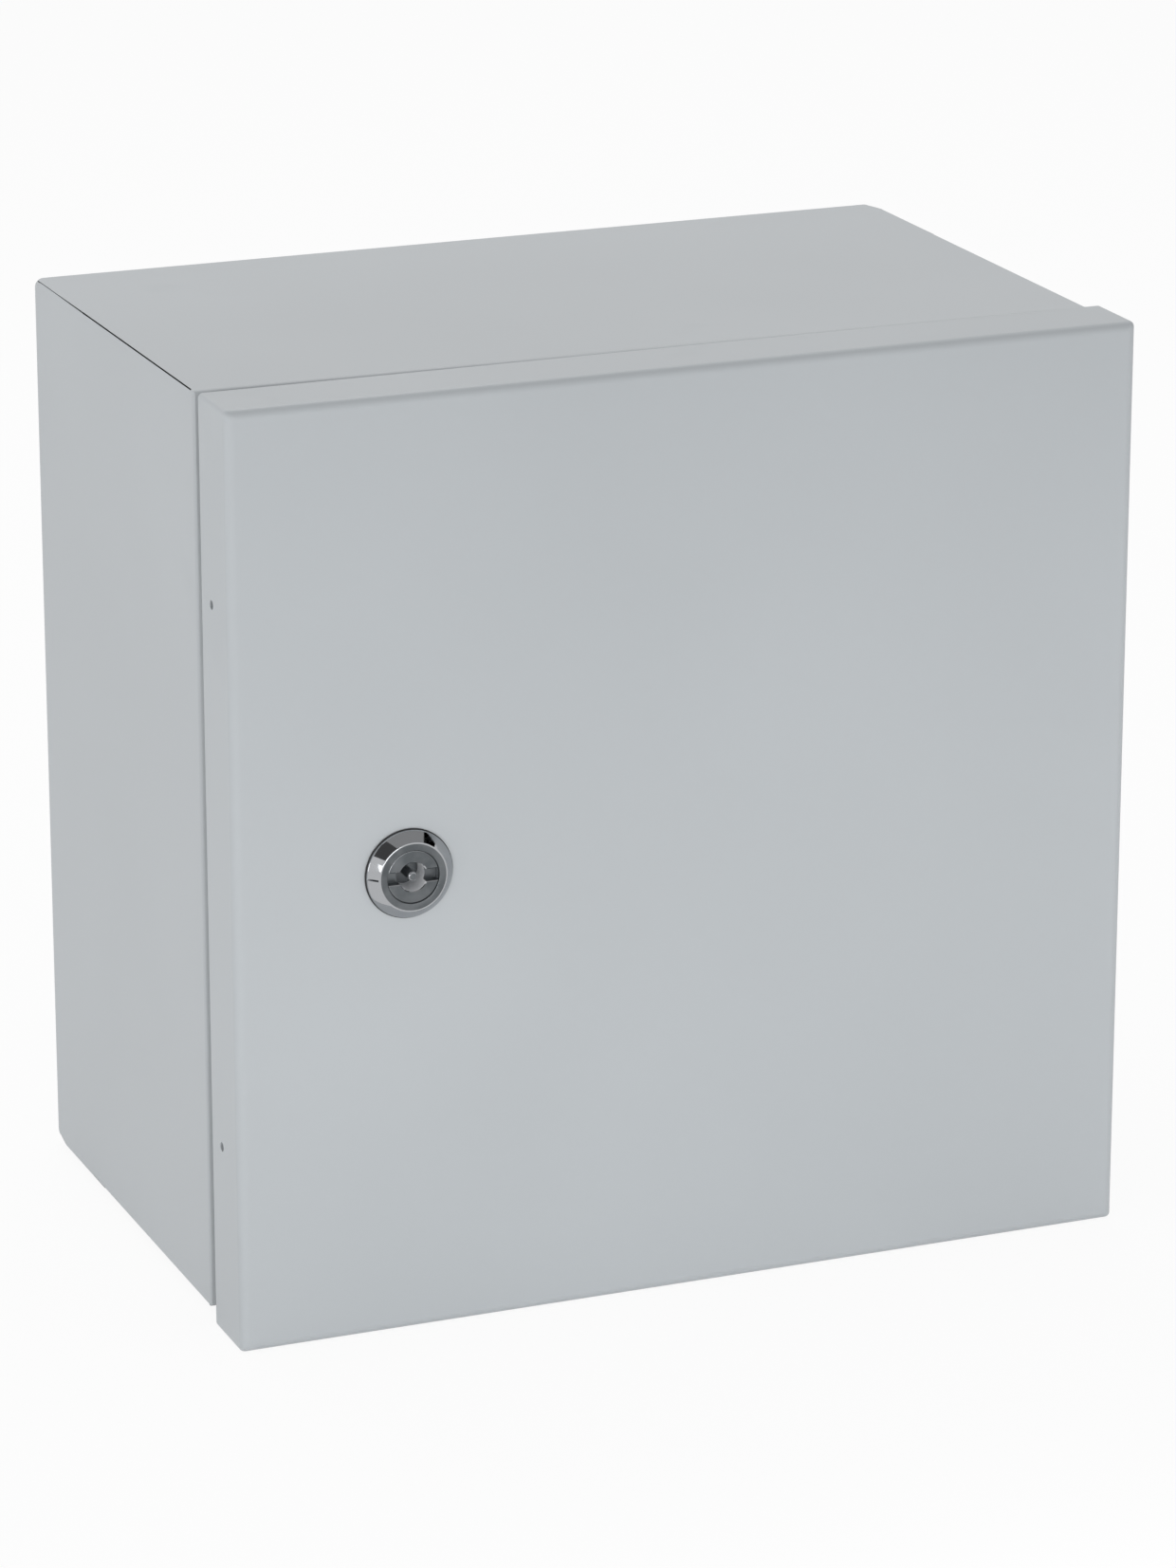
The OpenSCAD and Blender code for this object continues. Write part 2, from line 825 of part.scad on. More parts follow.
module cam_screw() {
  head_y = cam_y + cam_t + washer_t;
  tip_y = barrel_end - 1.5 * cam_screw_d;
  color([0.75, 0.75, 0.76]) {
    at_lock(head_y) hex_body(nut_af(cam_screw_d), head_t(cam_screw_d));
    at_lock(tip_y) cylinder(h = head_y - tip_y, d = cam_screw_d);
  }
}

// ---------------------------------------------------------------- mounting plate

module mounting_plate() {
  cut = plate_corner / sqrt(2);
  color([0.7, 0.71, 0.7])
    difference() {
      translate([-plate_w / 2, plate_front, -plate_h / 2])
        cube([plate_w, plate_t, plate_h]);
      at_corners(plate_w / 2, plate_h / 2)
        translate([0, plate_front + plate_t / 2, 0])
          rotate([0, 45, 0])
            cube([2 * cut, plate_t + 2 * over, 2 * cut], center = true);
      at_corners(plate_x, plate_z)
        translate([0, plate_front - over, 0])
          along_y() cylinder(h = plate_t + 2 * over, r = plate_stud_d / 2 + hole_gap);
    }
}

module plate_studs() {
  front_len = plate_t + washer_t + nut_t(plate_stud_d) + thread_tail * plate_stud_d;
  color([0.75, 0.75, 0.76])
    at_corners(plate_x, plate_z)
      translate([0, -body_sheet, 0])
        rotate([90, 0, 0]) {
          cylinder(h = plate_standoff, d = plate_collar_d);
          translate([0, 0, plate_standoff]) stud(plate_stud_d, front_len);
        }
}

module plate_washers() {
  color([0.75, 0.75, 0.76])
    at_corners(plate_x, plate_z)
      translate([0, plate_front, 0])
        rotate([90, 0, 0]) washer(plate_stud_d, 2 * plate_stud_d);
}

module plate_nuts() {
  color([0.75, 0.75, 0.76])
    at_corners(plate_x, plate_z)
      translate([0, plate_front - washer_t, 0])
        rotate([90, 0, 0]) hex_nut(plate_stud_d);
}

// ---------------------------------------------------------------- gland plate

// Places a copy at each stud of the gland plate, on the bottom's inner face
module at_gland_studs() {
  for (x = [-gland_x, 0, gland_x])
    for (sy = [-1, 1])
      translate([x, sy * gland_y - gland_back, bottom_inside]) children();
}

// The outline of the opening, in X and Y
module gland_opening() {
  translate([0, -gland_back])
    rounded_rect(gland_open_w, gland_open_d, gland_open_r);
}

// The outline of the plate and its seal
module gland_outline() {
  translate([0, -gland_back])
    rounded_rect(gland_w, gland_d, gland_corner_r);
}

module gland_plate() {
  color([0.7, 0.71, 0.7])
    difference() {
      translate([0, 0, gland_under])
        linear_extrude(gland_t)
          gland_outline();
      at_gland_studs()
        cylinder(h = gland_seal_t + gland_t + over, r = gland_stud_d / 2 + hole_gap);
    }
}

module gland_seal() {
  color([0.16, 0.16, 0.17])
    difference() {
      translate([0, 0, bottom_inside])
        linear_extrude(gland_seal_t)
          difference() {
            gland_outline();
            gland_opening();
          }
      at_gland_studs()
        translate([0, 0, -over])
          cylinder(h = gland_seal_t + 2 * over, r = gland_stud_d / 2 + hole_gap);
    }
}

module gland_studs() {
  tail = nut_t(gland_stud_d) + thread_tail * gland_stud_d;
  color([0.75, 0.75, 0.76])
    at_gland_studs() stud(gland_stud_d, gland_seal_t + gland_t + tail);
}

module gland_nuts() {
  color([0.75, 0.75, 0.76])
    at_gland_studs()
      translate([0, 0, gland_seal_t + gland_t]) hex_nut(gland_stud_d);
}

// ---------------------------------------------------------------- earthing

// The nut on an earth stud, a quarter of the way up
module earth_nut() {
  lift = earth_len / 4;
  color([0.75, 0.75, 0.76])
    translate([0, 0, lift]) hex_nut(earth_d);
}

module at_body_earth() {
  translate([body_w / 2 - body_sheet, body_earth_y, earth_z])
    rotate([0, -90, 0]) children();
}

module at_door_earth() {
  translate([door_earth_x, door_inside, earth_z])
    along_y() children();
}

module body_earth_stud() {
  color([0.75, 0.75, 0.76]) at_body_earth() stud(earth_d, earth_len);
}

module body_earth_nut() {
  at_body_earth() earth_nut();
}

module door_earth_stud() {
  color([0.75, 0.75, 0.76]) at_door_earth() stud(earth_d, earth_len);
}

module door_earth_nut() {
  at_door_earth() earth_nut();
}

body_shell();
door();
door_gasket();
at_hinge(1) body_leaf();  // upper_body_leaf
at_hinge(-1) body_leaf();  // lower_body_leaf
at_hinge(1) door_leaf();  // upper_door_leaf
at_hinge(-1) door_leaf();  // lower_door_leaf
at_hinge(1) hinge_pin();  // upper_hinge_pin
at_hinge(-1) hinge_pin();  // lower_hinge_pin
leaf_screws();
leaf_nuts();
leaf_rivets();
lock_housing();
lock_seal_ring();
lock_nut();
lock_insert();
lock_cam();
cam_washer();
cam_screw();
mounting_plate();
plate_studs();
plate_washers();
plate_nuts();
gland_plate();
gland_seal();
gland_studs();
gland_nuts();
body_earth_stud();
body_earth_nut();
door_earth_stud();
door_earth_nut();
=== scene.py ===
"""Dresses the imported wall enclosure: painted sheet steel, the quarter-turn lock, hinges,
foamed seals, mounting plate, gland plate and earth points, with a plain studio around it.

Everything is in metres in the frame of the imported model: the origin is the middle of the
back face on the wall, X points to the right seen from the front, Y into the wall, Z up."""
import json
import math

import bmesh
import bpy
import mathutils
from bpy.props import FloatProperty, FloatVectorProperty, PointerProperty
from mathutils import Matrix, Vector


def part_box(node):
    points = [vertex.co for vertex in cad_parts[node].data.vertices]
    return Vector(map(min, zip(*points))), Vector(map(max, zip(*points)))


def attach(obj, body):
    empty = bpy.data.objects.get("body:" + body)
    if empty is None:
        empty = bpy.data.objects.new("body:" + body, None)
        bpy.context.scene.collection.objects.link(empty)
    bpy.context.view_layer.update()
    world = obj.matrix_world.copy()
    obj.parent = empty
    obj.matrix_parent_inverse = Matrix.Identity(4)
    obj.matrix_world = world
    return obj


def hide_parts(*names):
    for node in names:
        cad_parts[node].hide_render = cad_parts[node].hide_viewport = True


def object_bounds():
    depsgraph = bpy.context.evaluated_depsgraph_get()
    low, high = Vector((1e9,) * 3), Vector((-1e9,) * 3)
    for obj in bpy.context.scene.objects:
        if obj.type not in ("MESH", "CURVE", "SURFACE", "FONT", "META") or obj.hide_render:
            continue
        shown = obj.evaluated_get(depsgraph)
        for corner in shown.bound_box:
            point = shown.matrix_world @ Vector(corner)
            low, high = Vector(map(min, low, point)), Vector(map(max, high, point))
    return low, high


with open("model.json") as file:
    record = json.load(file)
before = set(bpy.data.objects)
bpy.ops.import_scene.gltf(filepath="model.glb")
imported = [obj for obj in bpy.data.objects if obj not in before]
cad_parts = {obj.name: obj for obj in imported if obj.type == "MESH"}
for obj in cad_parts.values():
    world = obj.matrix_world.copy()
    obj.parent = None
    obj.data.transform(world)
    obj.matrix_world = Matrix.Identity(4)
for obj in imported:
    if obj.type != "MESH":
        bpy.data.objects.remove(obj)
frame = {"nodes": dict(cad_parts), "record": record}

bl_info = {
    "name": "Wall Enclosure Finisher",
    "version": (1, 0, 0),
    "blender": (4, 5, 0),
    "location": "View3D > Sidebar > Enclosure",
    "description": "Finishes and fine detail for a folded sheet-steel wall enclosure",
    "category": "Object",
}

CAD_LOW, CAD_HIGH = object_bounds()
MM = 0.001

DOOR_LOW, DOOR_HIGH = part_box("door")
RIM_LOW, RIM_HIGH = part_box("lock_housing")
LOCK_AXIS = (RIM_LOW + RIM_HIGH) / 2
SEAT_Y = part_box("lock_seal_ring")[0].y

# Pitch of each thread, by its diameter in millimetres
PITCH = {4: 0.7 * MM, 5: 0.8 * MM, 6: 1.0 * MM, 8: 1.25 * MM, 22: 1.0 * MM}
# Depth of a thread, as a share of its pitch
THREAD_DEPTH = 0.6

# Faces along a rounded edge, and along a fold
EASE_STEPS = 4
BEND_STEPS = 8
# The forward part of a face's normal, from a steep to a shallow slope of an edge
TAPER = (-0.95, -0.1)

# The materials and node groups that there are so far
MADE = {}


# ---------------------------------------------------------------- settings


def length(name, description, millimetres):
    """A setting that is a length, with its default in millimetres."""
    return FloatProperty(
        name=name, description=description, default=millimetres * MM, unit="LENGTH",
    )


class SheetSettings(bpy.types.PropertyGroup):
    """Sizes of the folded sheets."""

    thickness: length("Sheet", "Thickness of the sheet steel", 1.5)
    bend: length("Bend", "Outer radius of the bends", 3.0)
    corner: length("Corner", "Radius of the ground welds on the door's corners", 1.5)
    gutter: length("Gutter", "Gap between the door's flanges and the body's shoulder", 4.3)
    deeper: length("Deeper", "How much deeper the gutter lies at the lock's side", 5.0)
    hole: length("Flange hole", "Diameter of the small holes in the door's flanges", 3.0)


class CoatSettings(bpy.types.PropertyGroup):
    """The powder coat on the body and the door."""

    colour: FloatVectorProperty(
        name="Colour", description="Colour of the powder coat",
        default=(0.450, 0.477, 0.497), size=3, subtype="COLOR",
    )
    roughness: FloatProperty(
        name="Roughness", description="Roughness of the powder coat",
        default=0.40, min=0.0, max=1.0, subtype="FACTOR",
    )
    peel_size: length("Orange peel", "Width of the ripples in the powder coat", 1.6)
    peel_depth: FloatProperty(
        name="Peel depth", description="Depth of those ripples",
        default=0.004 * MM, unit="LENGTH", precision=6,
    )


class LockSettings(bpy.types.PropertyGroup):
    """Sizes of the quarter-turn lock."""

    ring: length("Ring", "Diameter of the flat ring on the rim's front", 22.2)
    barrel: length("Barrel", "Outer diameter of the barrel's thread", 22.0)
    insert: length("Insert", "Diameter of the turning insert", 17.0)
    recess: length("Recess", "Diameter of the key recess", 9.4)
    recess_depth: length("Recess depth", "Depth of the key recess", 9.0)
    wing: length("Wing", "Width of the wings of the key recess", 4.0)
    wing_depth: length("Wing depth", "Depth of the wings of the key recess", 3.0)
    pin: length("Pin", "Diameter of the pin in the middle of the recess", 3.0)
    flats: length("Flats", "Width of the barrel across its two flats", 20.0)
    square: length("Square", "Width of the square that drives the cam", 8.0)
    play: length("Play", "Radial clearance between the insert and its bore", 0.05)
    edge: length("Edge", "Radius of the rounded edges of the rim and the insert", 0.35)
    line: length("Line", "Width of the parting line across the rim", 0.6)
    lip: length("Lip", "How far the rubber ring shows around the rim", 0.3)


class SealSettings(bpy.types.PropertyGroup):
    """The foamed strip inside the door."""

    width: length("Width", "Width of the foamed strip", 12.0)
    corner: length("Corner", "Inner radius of the strip's corners", 3.0)
    crown: FloatProperty(
        name="Crown", description="How round the strip's back is, from 0, square, to 1, arched",
        default=0.42, min=0.1, max=1.0, subtype="FACTOR",
    )
    waves: length("Waves", "Depth of the unevenness of the foam", 0.35)


class FastenerSettings(bpy.types.PropertyGroup):
    """Threads, collars and recesses of the screws and studs."""

    collar: length("Collar", "Diameter of the collars that carry the mounting plate", 13.0)
    plate_thread: length("Plate thread", "Diameter of the mounting plate's studs", 8.0)
    gland_thread: length("Gland thread", "Diameter of the gland plate's studs", 5.0)
    earth_thread: length("Earth thread", "Diameter of the earth studs", 6.0)
    leaf_thread: length("Leaf thread", "Diameter of the screws in the body leaves", 4.0)
    flash: length("Weld flash", "How far the weld stands out around a stud", 0.8)


class StageSettings(bpy.types.PropertyGroup):
    """The camera, the lamps and the pale floor."""

    lens: FloatProperty(
        name="Lens", description="Focal length of the camera in millimetres",
        default=140.9, min=10.0,
    )
    azimuth: FloatProperty(
        name="Azimuth", description="How far the camera stands to the left of the front",
        default=math.radians(22.10), subtype="ANGLE",
    )
    elevation: FloatProperty(
        name="Elevation", description="How far the camera looks down",
        default=math.radians(17.83), subtype="ANGLE",
    )
    distance: FloatProperty(
        name="Distance", description="Distance from the door's front to the camera",
        default=1.929, unit="LENGTH",
    )
    aside: length("Aside", "Sideways move of the camera", -32.6)
    above: length("Above", "Upward move of the camera", 16.5)
    ambient: FloatProperty(
        name="Ambient", description="Strength of the even light from all sides",
        default=0.60, min=0.0,
    )


SETTINGS = {
    "enclosure_sheet": SheetSettings,
    "enclosure_coat": CoatSettings,
    "enclosure_lock": LockSettings,
    "enclosure_seal": SealSettings,
    "enclosure_fasteners": FastenerSettings,
    "enclosure_stage": StageSettings,
}


def sizes_of(group):
    """The settings of a group, such as sheet or lock."""
    return getattr(bpy.context.scene, f"enclosure_{group}")


# ---------------------------------------------------------------- node helpers


def add_node(tree, kind, inputs=None, **attributes):
    """Adds a shader node, sets its attributes, then its inputs: a socket links, a value is
    written on the socket."""
    made = tree.nodes.new(kind)
    for key, value in attributes.items():
        setattr(made, key, value)
    for key, value in (inputs or {}).items():
        if isinstance(value, bpy.types.NodeSocket):
            tree.links.new(value, made.inputs[key])
        else:
            made.inputs[key].default_value = value
    return made


def maths(tree, operation, first, second, third=0.0, clamp=False):
    """The result of a Math node."""
    made = add_node(
        tree, "ShaderNodeMath", {0: first, 1: second, 2: third},
        operation=operation, use_clamp=clamp,
    )
    return made.outputs[0]


def remap(tree, value, low, high, to_low=0.0, to_high=1.0):
    """value taken from low..high to to_low..to_high, smoothly and clamped."""
    made = add_node(
        tree, "ShaderNodeMapRange",
        {"Value": value, 1: low, 2: high, 3: to_low, 4: to_high},
        interpolation_type="SMOOTHSTEP",
    )
    return made.outputs["Result"]


def mix_colour(tree, factor, first, second):
    """A colour between first and second."""
    made = add_node(tree, "ShaderNodeMix", {"Factor": factor}, data_type="RGBA")
    for socket, value in ((made.inputs[6], first), (made.inputs[7], second)):
        if isinstance(value, bpy.types.NodeSocket):
            tree.links.new(value, socket)
        else:
            socket.default_value = (*value, 1.0)
    return made.outputs[2]


def feed(node, key, socket):
    """Links a socket to an input of a node."""
    node.id_data.links.new(socket, node.inputs[key])


def blank(owner, kind="ShaderNodeOutputMaterial"):
    """The cleared node tree of a material or a world, and its new output node."""
    owner.use_nodes = True
    owner.node_tree.nodes.clear()
    return owner.node_tree, owner.node_tree.nodes.new(kind)


def new_group(name, inputs, outputs):
    """An empty shader node group with float inputs {name: default} and float outputs."""
    tree = bpy.data.node_groups.new(name, "ShaderNodeTree")
    for label, default in inputs.items():
        socket = tree.interface.new_socket(label, in_out="INPUT", socket_type="NodeSocketFloat")
        socket.default_value = default
    for label in outputs:
        tree.interface.new_socket(label, in_out="OUTPUT", socket_type="NodeSocketFloat")
    return tree, tree.nodes.new("NodeGroupInput").outputs, tree.nodes.new("NodeGroupOutput").inputs


def made_once(key, build, *values):
    """What build gives for key, made the first time that it is asked for."""
    if key not in MADE:
        MADE[key] = build(*values)
    return MADE[key]


def use_group(tree, build, **values):
    """Places the group that build makes in a material with its own values, and returns its
    outputs."""
    inputs = {key.replace("_", " ").capitalize(): value for key, value in values.items()}
    group = made_once(build.__name__, build)
    return add_node(tree, "ShaderNodeGroup", inputs, node_tree=group).outputs


def object_place(tree):
    """A point's place on its own object, in metres."""
    return add_node(tree, "ShaderNodeTexCoord").outputs["Object"]


def noise(tree, scale, detail, place=None, roughness=0.5):
    """Soft noise of about 1 / scale metres."""
    where = place or object_place(tree)
    made = add_node(
        tree, "ShaderNodeTexNoise",
        {"Vector": where, "Scale": scale, "Detail": detail, "Roughness": roughness},
    )
    return made.outputs["Fac"]


# ---------------------------------------------------------------- shared effects


def ripple_group():
    """Orange peel: two sizes of ripple for the height, and a slow drift of tone."""
    tree, given, result = new_group(
        "Orange Peel", {"Scale": 600.0, "Fine share": 0.25, "Drift scale": 7.0},
        ["Height", "Drift"],
    )
    broad = noise(tree, given["Scale"], 1.0)
    fine = noise(tree, maths(tree, "MULTIPLY", given["Scale"], 3.7), 1.0)
    fine_part = maths(tree, "MULTIPLY", fine, given["Fine share"])
    tree.links.new(maths(tree, "ADD", broad, fine_part), result["Height"])
    drift = noise(tree, given["Drift scale"], 2.0)
    tree.links.new(remap(tree, drift, 0.3, 0.7), result["Drift"])
    return tree


def wear_group():
    """Edge wear: a mask that is 1 on rubbed edges, broken up by noise."""
    tree, given, result = new_group(
        "Edge Wear", {"Radius": 0.4 * MM, "Amount": 1.0, "Break up": 900.0}, ["Mask"],
    )
    rounded = add_node(tree, "ShaderNodeBevel", {"Radius": given["Radius"]}, samples=4)
    flat = add_node(tree, "ShaderNodeNewGeometry").outputs["Normal"]
    facing = add_node(
        tree, "ShaderNodeVectorMath", {0: rounded.outputs["Normal"], 1: flat},
        operation="DOT_PRODUCT",
    ).outputs["Value"]
    edge = remap(tree, facing, 0.995, 0.90)
    broken = remap(tree, noise(tree, given["Break up"], 3.0), 0.35, 0.62)
    mask = maths(tree, "MULTIPLY", edge, broken)
    tree.links.new(maths(tree, "MULTIPLY", mask, given["Amount"], clamp=True), result["Mask"])
    return tree


def grain_group():
    """Fine metal grain: a height and a tone, drawn out along one axis."""
    tree, given, result = new_group(
        "Metal Grain",
        {"Scale": 1500.0, "Stretch x": 1.0, "Stretch y": 1.0, "Stretch z": 1.0},
        ["Height", "Tone"],
    )
    stretch = add_node(
        tree, "ShaderNodeCombineXYZ",
        {"X": given["Stretch x"], "Y": given["Stretch y"], "Z": given["Stretch z"]},
    ).outputs[0]
    place = add_node(
        tree, "ShaderNodeVectorMath", {0: object_place(tree), 1: stretch},
        operation="MULTIPLY",
    ).outputs["Vector"]
    tree.links.new(noise(tree, given["Scale"], 3.0, place), result["Height"])
    patches = noise(tree, maths(tree, "MULTIPLY", given["Scale"], 0.07), 3.0, place)
    tree.links.new(remap(tree, patches, 0.3, 0.7), result["Tone"])
    return tree


def smudge_group():
    """Faint handling marks: a mask for a slightly duller finish."""
    tree, given, result = new_group("Smudges", {"Scale": 40.0, "Cover": 0.5}, ["Mask"])
    soft = noise(tree, given["Scale"], 4.0, roughness=0.6)
    start = maths(tree, "SUBTRACT", 0.75, maths(tree, "MULTIPLY", given["Cover"], 0.4))
    end = maths(tree, "ADD", start, 0.12)
    tree.links.new(remap(tree, soft, start, end), result["Mask"])
    return tree


# ---------------------------------------------------------------- materials


def new_material(name):
    """An empty node material with a Principled shader linked to its output."""
    material = bpy.data.materials.new(name)
    tree, output = blank(material)
    shader = tree.nodes.new("ShaderNodeBsdfPrincipled")
    feed(output, "Surface", shader.outputs[0])
    return material, tree, shader


def set_bump(tree, shader, height, depth):
    """Feeds a height of 0 to 1 and depth metres to the shader's normal."""
    bump = add_node(tree, "ShaderNodeBump", {"Height": height, "Distance": depth})
    feed(shader, "Normal", bump.outputs["Normal"])


def powder_coat():
    """Satin light-grey powder coat with orange peel."""
    coat = sizes_of("coat")
    material, tree, shader = new_material("Grey powder coat")
    peel = use_group(tree, ripple_group, scale=1.0 / coat.peel_size, fine_share=0.3)
    base = Vector(coat.colour)
    feed(shader, "Base Color", mix_colour(tree, peel["Drift"], base * 0.985, base * 1.015))
    marks = use_group(tree, smudge_group, scale=9.0, cover=0.4)
    duller = remap(tree, marks["Mask"], 0.0, 1.0, coat.roughness, coat.roughness + 0.05)
    feed(shader, "Roughness", duller)
    set_bump(tree, shader, peel["Height"], coat.peel_depth)
    return material


def chrome():
    """Bright chrome on the lock's rim."""
    material, tree, shader = new_material("Bright chrome")
    shader.inputs["Metallic"].default_value = 1.0
    shader.inputs["Base Color"].default_value = (0.41, 0.42, 0.435, 1.0)
    marks = use_group(tree, smudge_group, scale=160.0, cover=0.6)
    feed(shader, "Roughness", remap(tree, marks["Mask"], 0.0, 1.0, 0.05, 0.11))
    return material


# The grey metals by slot: the name, a dark and a light tone, the least and the greatest
# roughness, the scale of the grain, its depth in metres, and how metallic it is
METALS = {
    # Dark satin nickel on the lock's insert and front ring
    "satin_zinc": (
        "Satin nickel", (0.105, 0.115, 0.122), (0.15, 0.16, 0.168), (0.30, 0.42),
        2600.0, 0.006 * MM, 1.0,
    ),
    # Bare steel inside the welded seams, painted near black: painted shade in the seams' narrow
    # grooves
    "seam_shade_steel": (
        "Seam steel with painted shade", (0.03, 0.03, 0.032), (0.06, 0.06, 0.064), (0.55, 0.70),
        1500.0, 0.01 * MM, 1.0,
    ),
    # Near-white zinc inside the key recess: painted light on the recess walls, which are the
    # insert's own dark metal
    "recess_lit_zinc": (
        "Zinc painted lit", (0.84, 0.85, 0.87), (0.92, 0.93, 0.95), (0.45, 0.60),
        1500.0, 0.01 * MM, 0.15,
    ),
    # Tumbled casting of the hinge leaves
    "cast_zinc": (
        "Tumbled zinc casting", (0.40, 0.41, 0.42), (0.52, 0.53, 0.54), (0.38, 0.55),
        1300.0, 0.02 * MM, 1.0,
    ),
    # Bright plating on screws, studs and nuts
    "plated_steel": (
        "Bright zinc plating", (0.42, 0.43, 0.44), (0.53, 0.54, 0.54), (0.24, 0.38),
        1800.0, 0.006 * MM, 1.0,
    ),
}


def metal(name, dark, light, rough, grain_scale, depth, metallic):
    """A grey metal finish with grain, patches of tone and rubbed edges."""
    material, tree, shader = new_material(name)
    shader.inputs["Metallic"].default_value = metallic
    grain = use_group(tree, grain_group, scale=grain_scale)
    worn = use_group(tree, wear_group, amount=0.6)
    tone = mix_colour(tree, grain["Tone"], dark, light)
    rubbed = [min(1.0, channel * 1.25) for channel in light]
    feed(shader, "Base Color", mix_colour(tree, worn["Mask"], tone, rubbed))
    feed(shader, "Roughness", remap(tree, grain["Tone"], 0.0, 1.0, *rough))
    set_bump(tree, shader, grain["Height"], depth)
    return material


def galvanised():
    """Hot-dip galvanised sheet with a fine spangle."""
    material, tree, shader = new_material("Galvanised sheet")
    shader.inputs["Metallic"].default_value = 1.0
    spangle = add_node(
        tree, "ShaderNodeTexVoronoi",
        {"Vector": object_place(tree), "Scale": 330.0, "Randomness": 1.0},
    )
    split = add_node(tree, "ShaderNodeSeparateColor", {"Color": spangle.outputs["Color"]})
    cell = split.outputs[0]
    grain = use_group(tree, grain_group, scale=900.0, stretch_z=0.15)
    worn = use_group(tree, wear_group, amount=0.5)
    tone = mix_colour(tree, cell, (0.53, 0.55, 0.56), (0.61, 0.62, 0.63))
    feed(shader, "Base Color", mix_colour(tree, worn["Mask"], tone, (0.80, 0.81, 0.82)))
    feed(shader, "Roughness", remap(tree, cell, 0.0, 1.0, 0.38, 0.47))
    set_bump(tree, shader, maths(tree, "MULTIPLY_ADD", cell, 0.3, grain["Height"]), 0.006 * MM)
    return material


def soft_black(name, colour, rough, pore_scale, depth):
    """Foam or rubber: a dark, matt surface with pores, darker in the pores as painted shade."""
    material, tree, shader = new_material(name)
    pores = add_node(
        tree, "ShaderNodeTexVoronoi", {"Vector": object_place(tree), "Scale": pore_scale},
    ).outputs["Distance"]
    skin = use_group(tree, ripple_group, scale=pore_scale / 6.0, fine_share=0.5)
    pores_and_painted_shade = remap(tree, pores, 0.05, 0.35)
    # The pores get half the colour: painted shade in the hollows
    feed(shader, "Base Color", mix_colour(tree, pores_and_painted_shade, Vector(colour) * 0.5, colour))
    feed(shader, "Roughness", remap(tree, skin["Drift"], 0.0, 1.0, rough, rough + 0.1))
    set_bump(tree, shader, maths(tree, "ADD", pores_and_painted_shade, skin["Height"]), depth)
    return material


def foam():
    """Foamed polyurethane of the seals."""
    return soft_black("Foamed seal", (0.045, 0.046, 0.05), 0.75, 1500.0, 0.08 * MM)


def rubber():
    """Black rubber ring under the lock."""
    return soft_black("Black rubber", (0.018, 0.018, 0.019), 0.55, 5000.0, 0.01 * MM)


FINISHES = {
    "grey_powder_coat": powder_coat,
    "chromed_zinc": chrome,
    "galvanised_sheet": galvanised,
    "foam_seal": foam,
    "black_rubber": rubber,
}


def finish_of(slot):
    """The material of a slot."""
    if slot in METALS:
        return made_once(slot, metal, *METALS[slot])
    return made_once(slot, FINISHES[slot])


def slot_of(node):
    """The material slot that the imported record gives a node."""
    for part in frame["record"]["subparts"]:
        if part["node"] == node:
            return part["material_slot"]
    raise KeyError(node)


def dress(*nodes, edge=0.0):
    """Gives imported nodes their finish, and rounds their sharp edges where edge is set."""
    for node in nodes:
        item = frame["nodes"][node]
        for place in item.material_slots:
            place.material = finish_of(slot_of(node))
        if edge:
            soften(item, edge)


# ---------------------------------------------------------------- mesh helpers


def soften(item, radius):
    """Rounds the sharp edges of an object by a modifier."""
    bevel = item.modifiers.new("Rounded edges", "BEVEL")
    bevel.width = radius
    bevel.segments = 2
    bevel.limit_method = "ANGLE"
    bevel.angle_limit = math.radians(35)
    bevel.harden_normals = True
    bevel.use_clamp_overlap = True


def smooth(mesh, angle=30.0):
    """Shades a mesh smooth apart from edges sharper than angle degrees."""
    mesh.shade_smooth()
    mesh.set_sharp_from_angle(angle=math.radians(angle))


def linked(name, data):
    """A new object in the scene."""
    item = bpy.data.objects.new(name, data)
    bpy.context.scene.collection.objects.link(item)
    return item


def mesh_object(name, form, angle=30.0):
    """An object from a bmesh, smooth apart from edges sharper than angle degrees."""
    bmesh.ops.recalc_face_normals(form, faces=form.faces)
    mesh = bpy.data.meshes.new(name)
    form.to_mesh(mesh)
    form.free()
    smooth(mesh, angle)
    return linked(name, mesh)


def copy_of(node, name):
    """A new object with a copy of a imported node's mesh, to be reshaped."""
    packed = frame["nodes"][node]
    mesh = packed.data.copy()
    mesh.transform(packed.matrix_world)
    return linked(name, mesh)


def apply_modifiers(item):
    """Replaces an object's mesh by its modified one."""
    graph = bpy.context.evaluated_depsgraph_get()
    mesh = bpy.data.meshes.new_from_object(item.evaluated_get(graph))
    item.modifiers.clear()
    item.data = mesh


def cut(item, *tools, operation="DIFFERENCE"):
    """Cuts an object by tools and removes them."""
    for tool in tools:
        boolean = item.modifiers.new("Cut", "BOOLEAN")
        boolean.operation = operation
        boolean.object = tool
        boolean.solver = "EXACT"
    apply_modifiers(item)
    for tool in tools:
        bpy.data.objects.remove(tool)


def even_shading(item):
    """Smooth shading in which the large flats stay flat."""
    smooth(item.data)
    weighted = item.modifiers.new("Even shading", "WEIGHTED_NORMAL")
    weighted.keep_sharp = True
    weighted.weight = 100


def settle(item, body, node, replaces=True):
    """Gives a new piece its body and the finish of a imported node, which it stands for."""
    slot = slot_of(node)
    item.data.materials.clear()
    item.data.materials.append(finish_of(slot))
    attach(item, body)
    if replaces:
        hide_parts(node)


def pointing(place, direction):
    """The matrix that turns local Z into direction and moves the origin to place."""
    turn = Vector(direction).to_track_quat("Z", "Y")
    return Matrix.Translation(place) @ turn.to_matrix().to_4x4()


def at_lock(y):
    """The matrix on the lock's axis at y, with local Z towards the back."""
    return pointing(Vector((LOCK_AXIS.x, y, LOCK_AXIS.z)), (0, 1, 0))


